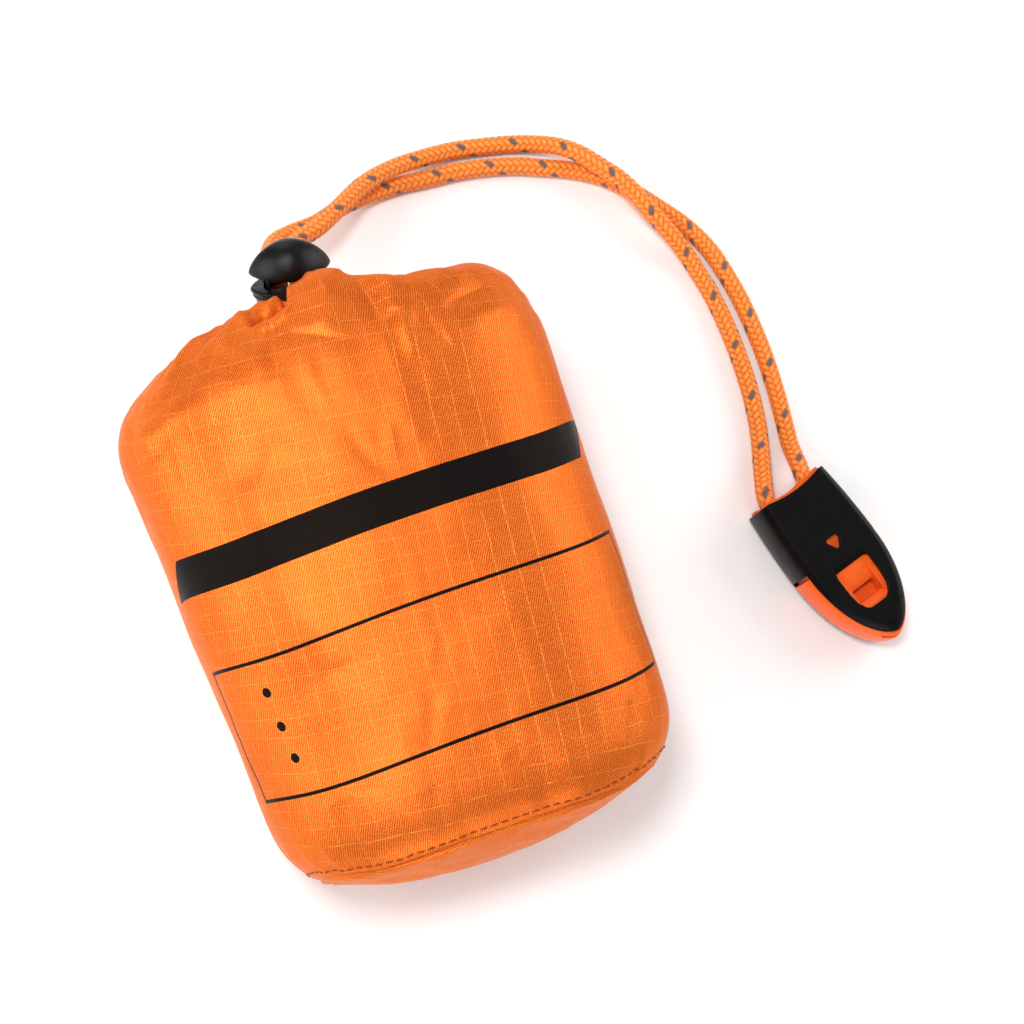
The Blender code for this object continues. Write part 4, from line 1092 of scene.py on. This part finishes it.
def smooth_knots(knots, count):
    """Points evenly spaced along a smooth line through knots."""
    knots = np.array(knots, float)
    reach = reach_along(knots)
    slope = np.gradient(knots, reach, axis=0)
    at = np.linspace(0, reach[-1], count)
    i = np.clip(np.searchsorted(reach, at, side="right") - 1, 0, len(knots) - 2)
    span = (reach[i + 1] - reach[i])[:, None]
    t = (at - reach[i])[:, None] / span
    return ((2 * t ** 3 - 3 * t ** 2 + 1) * knots[i] + (t ** 3 - 2 * t ** 2 + t) * span * slope[i]
            + (3 * t ** 2 - 2 * t ** 3) * knots[i + 1] + (t ** 3 - t ** 2) * span * slope[i + 1])


def in_lock(points):
    return np.array(LOCK_CENTRE) + points * MM @ np.array(LOCK_ROTATION).T


def in_whistle(points):
    turned = np.array(Matrix.Rotation(WHISTLE_TURN, 3, "Z"))
    return np.array(WHISTLE_PLACE) + points * MM @ turned.T


def lens_rings(profile, low, height, power=1.3):
    """Rings of the lock's eye shaped outline. A profile's knots are shares of the height and scales."""
    turn = 2 * pi * np.arange(LENS_POINTS) / LENS_POINTS
    x, y = LENS_HALF_X * np.cos(turn), LENS_HALF_Y * rounded(np.sin(turn), power)
    knots = [(scale * LENS_WEIGHT, low + height * share) for share, scale in profile]
    rings = smooth_knots(knots, LENS_RINGS) / (LENS_WEIGHT, 1)
    return in_lock(np.array([np.stack([x * scale, y * scale, np.full_like(x, z)], axis=1)
                             for scale, z in rings]))


def arc_points(radius, start, end, count, middle=(0, 0)):
    """Points along an arc round a middle."""
    turn = np.linspace(start, end, count)
    return radius * np.stack([np.cos(turn), np.sin(turn)], axis=1) + middle


def mirrored(right):
    """A closed outline from its right hand half."""
    return np.vstack([right, np.array(right)[::-1] * (-1, 1)])


def tool(name, outline, low, high, place, along=2):
    """A shape to carve with: an outline drawn out along one axis, from low to high."""
    outline = np.array(outline, float)
    rings = np.stack([np.insert(outline, along, level, axis=1) for level in (low, high)])
    return mesh_from_grid(name, place(rings), None, wrap=True, caps=True)


def round_box(half_x, half_y, corner, steps=8):
    """A rectangle with round corners."""
    turn = np.concatenate([pi / 2 * (quarter + np.arange(steps + 1) / steps) for quarter in range(4)])
    side_x = np.repeat([1, -1, -1, 1], steps + 1)
    side_y = np.repeat([1, 1, -1, -1], steps + 1)
    return np.stack([side_x * (half_x - corner) + corner * np.cos(turn),
                     side_y * (half_y - corner) + corner * np.sin(turn)], axis=1)


def carve(made, cuts, joins=(), edge_mm=0.15):
    """Cuts shapes out of an object or joins them to it, rounds its edges, and keeps the result."""
    for item in (made, *cuts, *joins):
        work = bmesh.new()
        work.from_mesh(item.data)
        bmesh.ops.recalc_face_normals(work, faces=work.faces[:])
        work.to_mesh(item.data)
        work.free()
    for shape in (*joins, *cuts):
        change = made.modifiers.new(shape.name, "BOOLEAN")
        change.object = shape
        change.operation = "UNION" if shape in joins else "DIFFERENCE"
        change.solver = "EXACT"
    weld = made.modifiers.new("weld", "WELD")
    weld.merge_threshold = 0.004 * MM
    bevel = made.modifiers.new("edges", "BEVEL")
    bevel.width = edge_mm * MM
    bevel.segments = 2
    bevel.limit_method = "ANGLE"
    bevel.angle_limit = radians(34)
    bevel.use_clamp_overlap = False
    bpy.context.view_layer.update()
    result = bpy.data.meshes.new_from_object(made.evaluated_get(bpy.context.evaluated_depsgraph_get()))
    made.modifiers.clear()
    made.data = result
    result.shade_smooth()
    result.set_sharp_from_angle(angle=radians(50))
    made.modifiers.new("even_shading", "WEIGHTED_NORMAL").keep_sharp = True
    for shape in (*cuts, *joins):
        bpy.data.objects.remove(shape, do_unlink=True)


# Outlines of the whistle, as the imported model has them: length along Y, and the side's draw towards each face
TIP_Y, MOUTH_Y, WIDEST_Y, SIDE_END_Y = -34.0, 6.9, -10.6, -11.6
WHISTLE_HALF, WHISTLE_HIGH, PLATE = 10.6, 13.4, 1.4
POST_RADIUS, CHANNEL_RADIUS = 3.2, 7.8
VENT_Y, VENT_REACH, VENT_CORNER = -8.3, 1.1, 0.7

# Right half of the window in each face, and half of the profile of the airways in the core
WINDOW = ((4.0, -14.6), (4.55, -15.0), (4.7, -15.6), (4.62, -20.0), (4.3, -22.4), (3.4, -24.2), (2.6, -24.9),
          (2.0, -25.1))
AIRWAY = ((-14.6, 5.4), (-20.0, 2.9), (-19.9, 2.6), (-13.4, 2.6), (-13.4, 0.4), (-23.1, 0.4), (-23.1, 2.6),
          (-34.4, 2.6), (-34.4, 3.7), (-23.1, 3.7), (-25.1, 5.4))


def whistle_half(y):
    """Half the whistle's width at a place along it."""
    y = np.asarray(y, float)
    mouth = WHISTLE_HALF - ((y - WIDEST_Y) / (MOUTH_Y - WIDEST_Y)) ** 2
    reach = np.clip((WIDEST_Y - y) / (WIDEST_Y - TIP_Y), 0, 1)
    return np.where(y > WIDEST_Y, mouth, WHISTLE_HALF * (1 - reach ** 2.2) ** 0.625)


def whistle_outline(upper, lower_top, mouth, hollow=1.0):
    """An outline: its upper right side, the round tip from a height down, and the hollow cord end."""
    turn = pi / 2 * np.arange(1, 44) / 44
    y = lower_top - (lower_top - TIP_Y) * np.sin(turn)
    lower = np.stack([whistle_half(y), y], axis=1)
    right = np.vstack([upper, [(float(whistle_half(lower_top)), lower_top)], lower])
    left = right[::-1] * (-1, 1)
    half = float(upper[0][0])
    x = np.linspace(-half, half, 26)[1:-1]
    top = np.stack([x, mouth - hollow * (1 - (x / half) ** 2)], axis=1)
    return np.vstack([right, [(0, TIP_Y)], left, top])


def whistle_layers(outline, low, high, least_draw, fixed_above=99, edge=0.0, count=26):
    """The outline at each height, with its sides drawn in towards both faces, and more at the tip.

    The tip is drawn in by least_draw or more. Nothing is drawn in above fixed_above, and edge rounds the
    two faces' rims.
    """
    z = WHISTLE_HIGH / 2 + np.sin(np.linspace(-pi / 2, pi / 2, count)) * (high - low) / 2
    layers = []
    for level in z:
        out = abs(level / WHISTLE_HIGH * 2 - 1)
        near = max(0.0, 1 - min(level - low, high - level) / 1.2) if edge else 0.0
        draw = 0.92 * out ** 2 + 1.45 * out ** 8 + edge * (1 - sqrt(1 - near ** 2))
        below = np.maximum(SIDE_END_Y - outline[:, 1], 0)
        drawn = np.where(below > 0, max(draw, least_draw), draw)
        drawn = np.where(outline[:, 1] > fixed_above, 0, drawn)
        x = outline[:, 0] * (1 - drawn / WHISTLE_HALF)
        y = outline[:, 1] + below * 1.6 * drawn / (SIDE_END_Y - TIP_Y)
        layers.append(np.stack([x, y, np.full_like(x, level)], axis=1))
    return in_whistle(np.array(layers))


class SLEEPINGBAG_OT_lock(bpy.types.Operator):
    """Moulds the cord lock: a lens shaped barrel with a lipped rim, and its domed button"""

    bl_idname = "sleeping_bag.lock"
    bl_label = "Cord lock"

    def execute(self, context):
        satin = plastic_finish("satin_black", tuple(looks().plastic_colour), grain_mm=0.16,
                               grain_height=0.05, roughness=0.25, gloss=0.22, seam=True)
        barrel = mesh_from_grid("lock_barrel",
                                lens_rings(BARREL_PROFILE, BARREL_BOTTOM, BARREL_RIM - BARREL_BOTTOM),
                                satin, wrap=True, caps=True)
        end = arc_points(SLOT_RADIUS, -pi / 2, pi / 2, 13, (SLOT_HALF, 0))
        well = arc_points(SPRING_WELL_RADIUS, 0, 2 * pi, 33)[:-1]
        carve(barrel, (
            tool("stem_well", round_box(5.6, 2.3, 1.0), -6.1, BARREL_RIM + 1, in_lock),
            tool("spring_well", well, -8.8, -5.8, in_lock),
            tool("cord_slot", np.vstack([end, end * (-1, -1)]), -9, 9, in_lock, along=1)), edge_mm=0.3)
        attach(barrel, "cord_lock")
        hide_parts("cord_lock_body")

        button = mesh_from_grid("lock_button", lens_rings(BUTTON_PROFILE, BUTTON_UNDER, BUTTON_DOME, 1.5),
                                satin, wrap=True, caps=True)
        window = [(-4.5, -2.3), (4.5, -2.3), (4.5, 4.6), (-4.5, 4.6)]
        carve(button, (tool("stem_window", window, -6, 6, in_lock, along=1),),
              (tool("stem", round_box(5.3, 2.0, 1.0), -3.5, BUTTON_UNDER + 0.8, in_lock),), edge_mm=0.2)
        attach(button, "lock_button")
        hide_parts("cord_lock_button")
        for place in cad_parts["cord_lock_spring"].material_slots:
            place.material = steel_finish()
        return {"FINISHED"}


class SLEEPINGBAG_OT_whistle(bpy.types.Operator):
    """Moulds the whistle: the black sleeve with its window and vent, and the orange core inside it"""

    bl_idname = "sleeping_bag.whistle"
    bl_label = "Whistle"

    def execute(self, context):
        black = plastic_finish("soft_touch_black", tuple(looks().plastic_colour), grain_mm=0.22,
                               grain_height=0.06, roughness=0.3, gloss=0.1, dust=0.15)
        orange = plastic_finish("orange_plastic", tuple(looks().core_colour), grain_mm=0.4,
                                grain_height=0.012, roughness=0.34, gloss=0.22, dust=0.1)
        y = np.linspace(MOUTH_Y, SIDE_END_Y, 30)[:-1]
        outline = whistle_outline(np.stack([whistle_half(y), y], axis=1), SIDE_END_Y, MOUTH_Y)
        sleeve = mesh_from_grid("whistle_sleeve_moulded", whistle_layers(outline, 0, WHISTLE_HIGH, 0.9),
                                black, wrap=True, caps=True)
        wall = whistle_half(y) - 1.5
        socket = mirrored([(wall[0], 12), *zip(wall, y), (22, SIDE_END_Y), (22, -40)])
        cuts = [tool("socket", socket, PLATE, WHISTLE_HIGH - PLATE, in_whistle),
                tool("window", mirrored(WINDOW), -4, 17, in_whistle),
                tool("vent", self.vent(), -4, 17, in_whistle)]
        for name, face, out in (("sill_front", WHISTLE_HIGH, 1), ("sill_back", 0, -1)):
            slope = [(at, face + out * above)
                     for at, above in ((-15.2, -1.25), (-13.35, 0.05), (-13.35, 2), (-15.2, 2))]
            cuts.append(tool(name, slope, -4.5, 4.5, in_whistle, along=0))
        carve(sleeve, cuts, edge_mm=0.22)
        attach(sleeve, "whistle")
        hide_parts("whistle_sleeve")

        low, high, shoulder, top = PLATE + 0.3, WHISTLE_HIGH - PLATE - 0.3, SIDE_END_Y - 0.3, MOUTH_Y + 0.6
        y = np.array([top, 4.0, 0.0, -4.0, -8.0, shoulder + 0.001])
        upper = np.stack([whistle_half(y) - 1.8, y], axis=1)
        outline = whistle_outline(upper, shoulder, top)
        core = mesh_from_grid("whistle_core_moulded", whistle_layers(outline, low, high, 0, shoulder, 1.7),
                              orange, wrap=True, caps=True)
        channel = np.vstack([[(10.6, top + 3), (10.6, 0)], arc_points(CHANNEL_RADIUS, 0, -pi, 33),
                             [(-10.6, 0), (-10.6, top + 3)]])
        post = tool("post", arc_points(POST_RADIUS, 0, 2 * pi, 49)[:-1], low + 1, high - 1, in_whistle)
        airways = []
        for name, out in (("front_airway", 1), ("back_airway", -1)):
            profile = [(at, WHISTLE_HIGH / 2 + out * z) for at, z in AIRWAY]
            airways.append(tool(name, profile, -3.4, 3.4, in_whistle, along=0))
        carve(core, [tool("channel", channel, low + 2.3, high - 2.3, in_whistle)], edge_mm=0.0)
        carve(core, airways, [post], edge_mm=0.12)
        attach(core, "whistle")
        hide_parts("whistle_core")
        return {"FINISHED"}

    def vent(self):
        """A triangle with round corners, one of them towards the tip."""
        corners = []
        for middle in (-pi / 2, pi / 6, 5 * pi / 6):
            place = (VENT_REACH * cos(middle), VENT_Y + VENT_REACH * sin(middle))
            corners.append(arc_points(VENT_CORNER, middle - pi / 3, middle + pi / 3, 10, place))
        return np.vstack(corners)


class SLEEPINGBAG_OT_stage(bpy.types.Operator):
    """Sets the floor, the soft lights and the camera"""

    bl_idname = "sleeping_bag.stage"
    bl_label = "Stage"

    def execute(self, context):
        scene = context.scene
        camera = bpy.data.cameras.new("camera")
        camera.lens = LENS_MM
        camera.sensor_width = SENSOR_MM
        holder = bpy.data.objects.new("camera", camera)
        scene.collection.objects.link(holder)
        back = CAMERA_BACK.normalized()
        up = back.cross(CAMERA_RIGHT).normalized()
        axes = Matrix((up.cross(back), up, back)).transposed().to_4x4()
        holder.matrix_world = Matrix.Translation(CAMERA_PLACE) @ axes
        scene.camera = holder

        corners = [(x * FLOOR_HALF, y * FLOOR_HALF, 0) for x, y in ((-1, -1), (1, -1), (1, 1), (-1, 1))]
        floor = add_object("floor", corners, [(0, 1, 2, 3)], floor_finish())

        world = bpy.data.worlds.new("room")
        world.use_nodes = True
        sky = world.node_tree.nodes["Background"]
        sky.inputs["Color"].default_value = (1.0, 1.0, 1.0, 1.0)
        sky.inputs["Strength"].default_value = looks().sky_strength
        scene.world = world
        scene.view_settings.view_transform = "Standard"
        for name, place, size, share in SOFTBOXES:
            light = bpy.data.lights.new(name, "AREA")
            light.size = size
            light.energy = looks().key_power * share
            lamp = bpy.data.objects.new(name, light)
            lamp.location = place
            lamp.rotation_euler = (-Vector(place)).to_track_quat("-Z", "Y").to_euler()
            scene.collection.objects.link(lamp)
        return {"FINISHED"}


class SLEEPINGBAG_PT_panel(bpy.types.Panel):
    """Lists the builders and the looks that a user would change"""

    bl_idname = "SLEEPINGBAG_PT_panel"
    bl_label = "Sleeping Bag"
    bl_space_type = "VIEW_3D"
    bl_region_type = "UI"
    bl_category = "Sleeping Bag"

    def draw(self, context):
        for name in SleepingBagLooks.__annotations__:
            self.layout.prop(context.scene.sleeping_bag_looks, name)
        for step in STEPS:
            self.layout.operator(step.bl_idname)


STEPS = (SLEEPINGBAG_OT_stage, SLEEPINGBAG_OT_drawcord, SLEEPINGBAG_OT_sack, SLEEPINGBAG_OT_hem,
         SLEEPINGBAG_OT_roll, SLEEPINGBAG_OT_lock, SLEEPINGBAG_OT_whistle)
CLASSES = (SleepingBagLooks, *STEPS, SLEEPINGBAG_PT_panel)


def register():
    for item in CLASSES:
        bpy.utils.register_class(item)
    bpy.types.Scene.sleeping_bag_looks = PointerProperty(type=SleepingBagLooks)


def unregister():
    del bpy.types.Scene.sleeping_bag_looks
    for item in reversed(CLASSES):
        bpy.utils.unregister_class(item)


def main():
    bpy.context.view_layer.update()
    register()
    bpy.ops.sleeping_bag.stage()
    bpy.ops.sleeping_bag.drawcord()
    bpy.ops.sleeping_bag.sack()
    bpy.ops.sleeping_bag.hem()
    bpy.ops.sleeping_bag.roll()
    bpy.ops.sleeping_bag.lock()
    bpy.ops.sleeping_bag.whistle()


if __name__ == "__main__":
    main()
